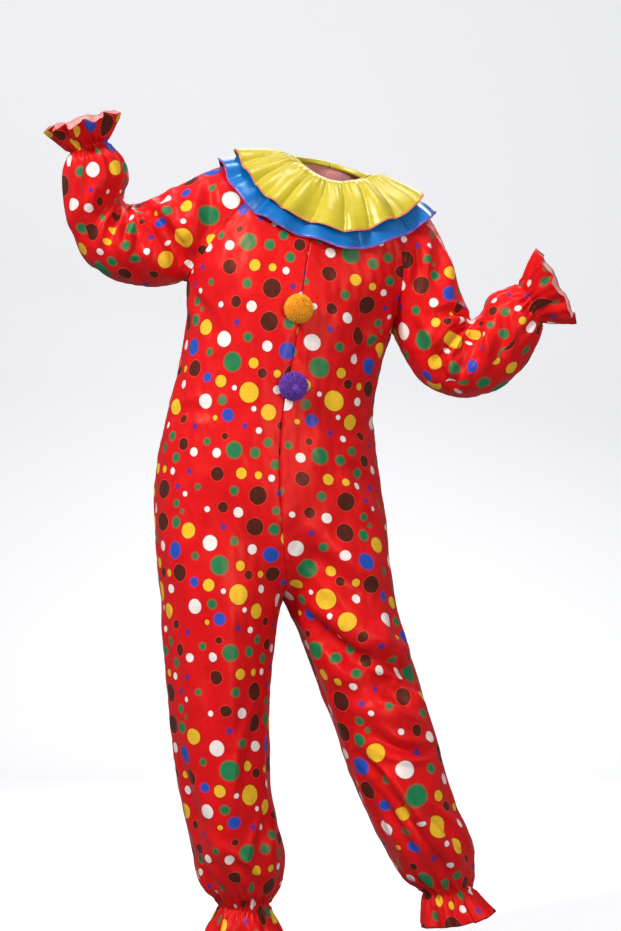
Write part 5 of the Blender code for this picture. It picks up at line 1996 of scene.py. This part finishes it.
@dataclass
class Studio:
    """A pale floor and backdrop, soft lights and the camera."""

    floor_z: float = -1.43
    target: tuple[float, float, float] = (-0.06, 0.0, -0.62)

    def floor(self) -> None:
        """One sheet of pale paper that is floor in front and backdrop behind."""
        start, bend = 2.6, 1.2
        turns = np.linspace(0.1, math.pi / 2, 14)
        curve = [(start + bend * math.sin(turn), bend - bend * math.cos(turn)) for turn in turns]
        profile = [(-3.0, 0.0), (start, 0.0), *curve, (start + bend, 4.5)]
        points = np.array([[[x, y, self.floor_z + z] for x in (-6.0, 6.0)] for y, z in profile])
        paper = made_mesh("studio_paper", points, quads_of(len(profile), 2, False).tolist())
        if paper.data.polygons[0].normal.z < 0:
            paper.data.flip_normals()
        paper.data.shade_smooth()
        material, board, surface = new_material("paper")
        seen = board.add("LightPath").outputs["Is Camera Ray"]
        board.feed(surface, {
            "Base Color": board.mix(seen, colour(120, 120, 122), colour(243, 243, 244)),
            "Emission Strength": board.math("MULTIPLY", seen, 0.27),
            "Emission Color": colour(243, 244, 246),
            "Roughness": 0.85,
        })
        behind = board.math("MULTIPLY", seen, board.add("NewGeometry").outputs["Backfacing"])
        clear = board.add("BsdfTransparent").outputs[0]
        mixed = board.add("MixShader", {0: behind, 1: surface.outputs[0], 2: clear}).outputs[0]
        board.feed(material.node_tree.nodes["Material Output"], {"Surface": mixed})
        paper.data.materials.append(material)

    def light(self, name: str, place: tuple[float, float, float], size: float, power: float) -> None:
        """A square soft light turned to the suit."""
        data = bpy.data.lights.new(name, "AREA")
        data.size = size
        data.energy = power
        lamp = linked(name, data)
        lamp.location = place
        aim = Vector(self.target) - Vector(place)
        lamp.rotation_euler = aim.to_track_quat("-Z", "Y").to_euler()

    def camera(self) -> None:
        """The camera, level, in front of the suit."""
        data = bpy.data.cameras.new("camera")
        data.lens = 85.0
        data.sensor_width = 36.0
        camera = linked("camera", data)
        camera.location = (-0.0394, -3.84625, -0.5136)
        camera.rotation_euler = (math.pi / 2, 0.0, 0.0)
        bpy.context.scene.camera = camera

    def build(self) -> None:
        """Sets up the floor, the lights, the world and the camera."""
        self.floor()
        self.light("key", (-2.2, -2.2, 1.9), 0.8, 144.0)
        self.light("fill", (1.3, -3.3, -0.3), 1.2, 54.0)
        self.light("top", (0.3, -0.4, 2.3), 1.0, 28.0)
        self.light("back_fill", (0.5, 2.4, 1.4), 2.0, 42.0)
        world = bpy.data.worlds.new("studio")
        world.use_nodes = True
        board = Board(world.node_tree)
        seen = board.math("MULTIPLY", board.add("LightPath").outputs["Is Camera Ray"], 0.56)
        strength = board.math("ADD", seen, 0.34)
        backdrop = world.node_tree.nodes["Background"]
        board.feed(backdrop, {"Color": (0.95, 0.96, 1.0, 1.0), "Strength": strength})
        bpy.context.scene.world = world
        bpy.context.scene.view_settings.view_transform = "Standard"
        self.camera()


def main() -> None:
    """Builds the suit's pieces in order, and logs the ruffles and the pompoms."""
    logging.basicConfig(level=logging.INFO, format="%(name)s: %(message)s")
    groups = {"dot_print": DotPrint.group(), "satin_weave": SatinWeave.group()}
    printed = (RED_SATIN.material(groups), RED_REVERSE.material(groups))
    yellow = (YELLOW_SATIN.material(groups), YELLOW_REVERSE.material(groups))
    blue = (BLUE_SATIN.material(groups), BLUE_REVERSE.material(groups))
    body = SuitBody(printed)
    body.build()
    body.dress()
    red_thread = RED_THREAD.material()
    body.sew_sleeves(red_thread)
    Collar(yellow, blue, CORAL_THREAD.material(), PLUM_THREAD.material()).build(body)
    BackLap(printed, red_thread).build(body)
    Pompom("pom_orange", "orange_yarn", ORANGE_YARN.material(), 0.035, 31, 0.05).build()
    Pompom("pom_purple", "purple_yarn", PURPLE_YARN.material(), 0.040, 37, 0.40).build()
    Studio().build()


if __name__ == "__main__":
    main()
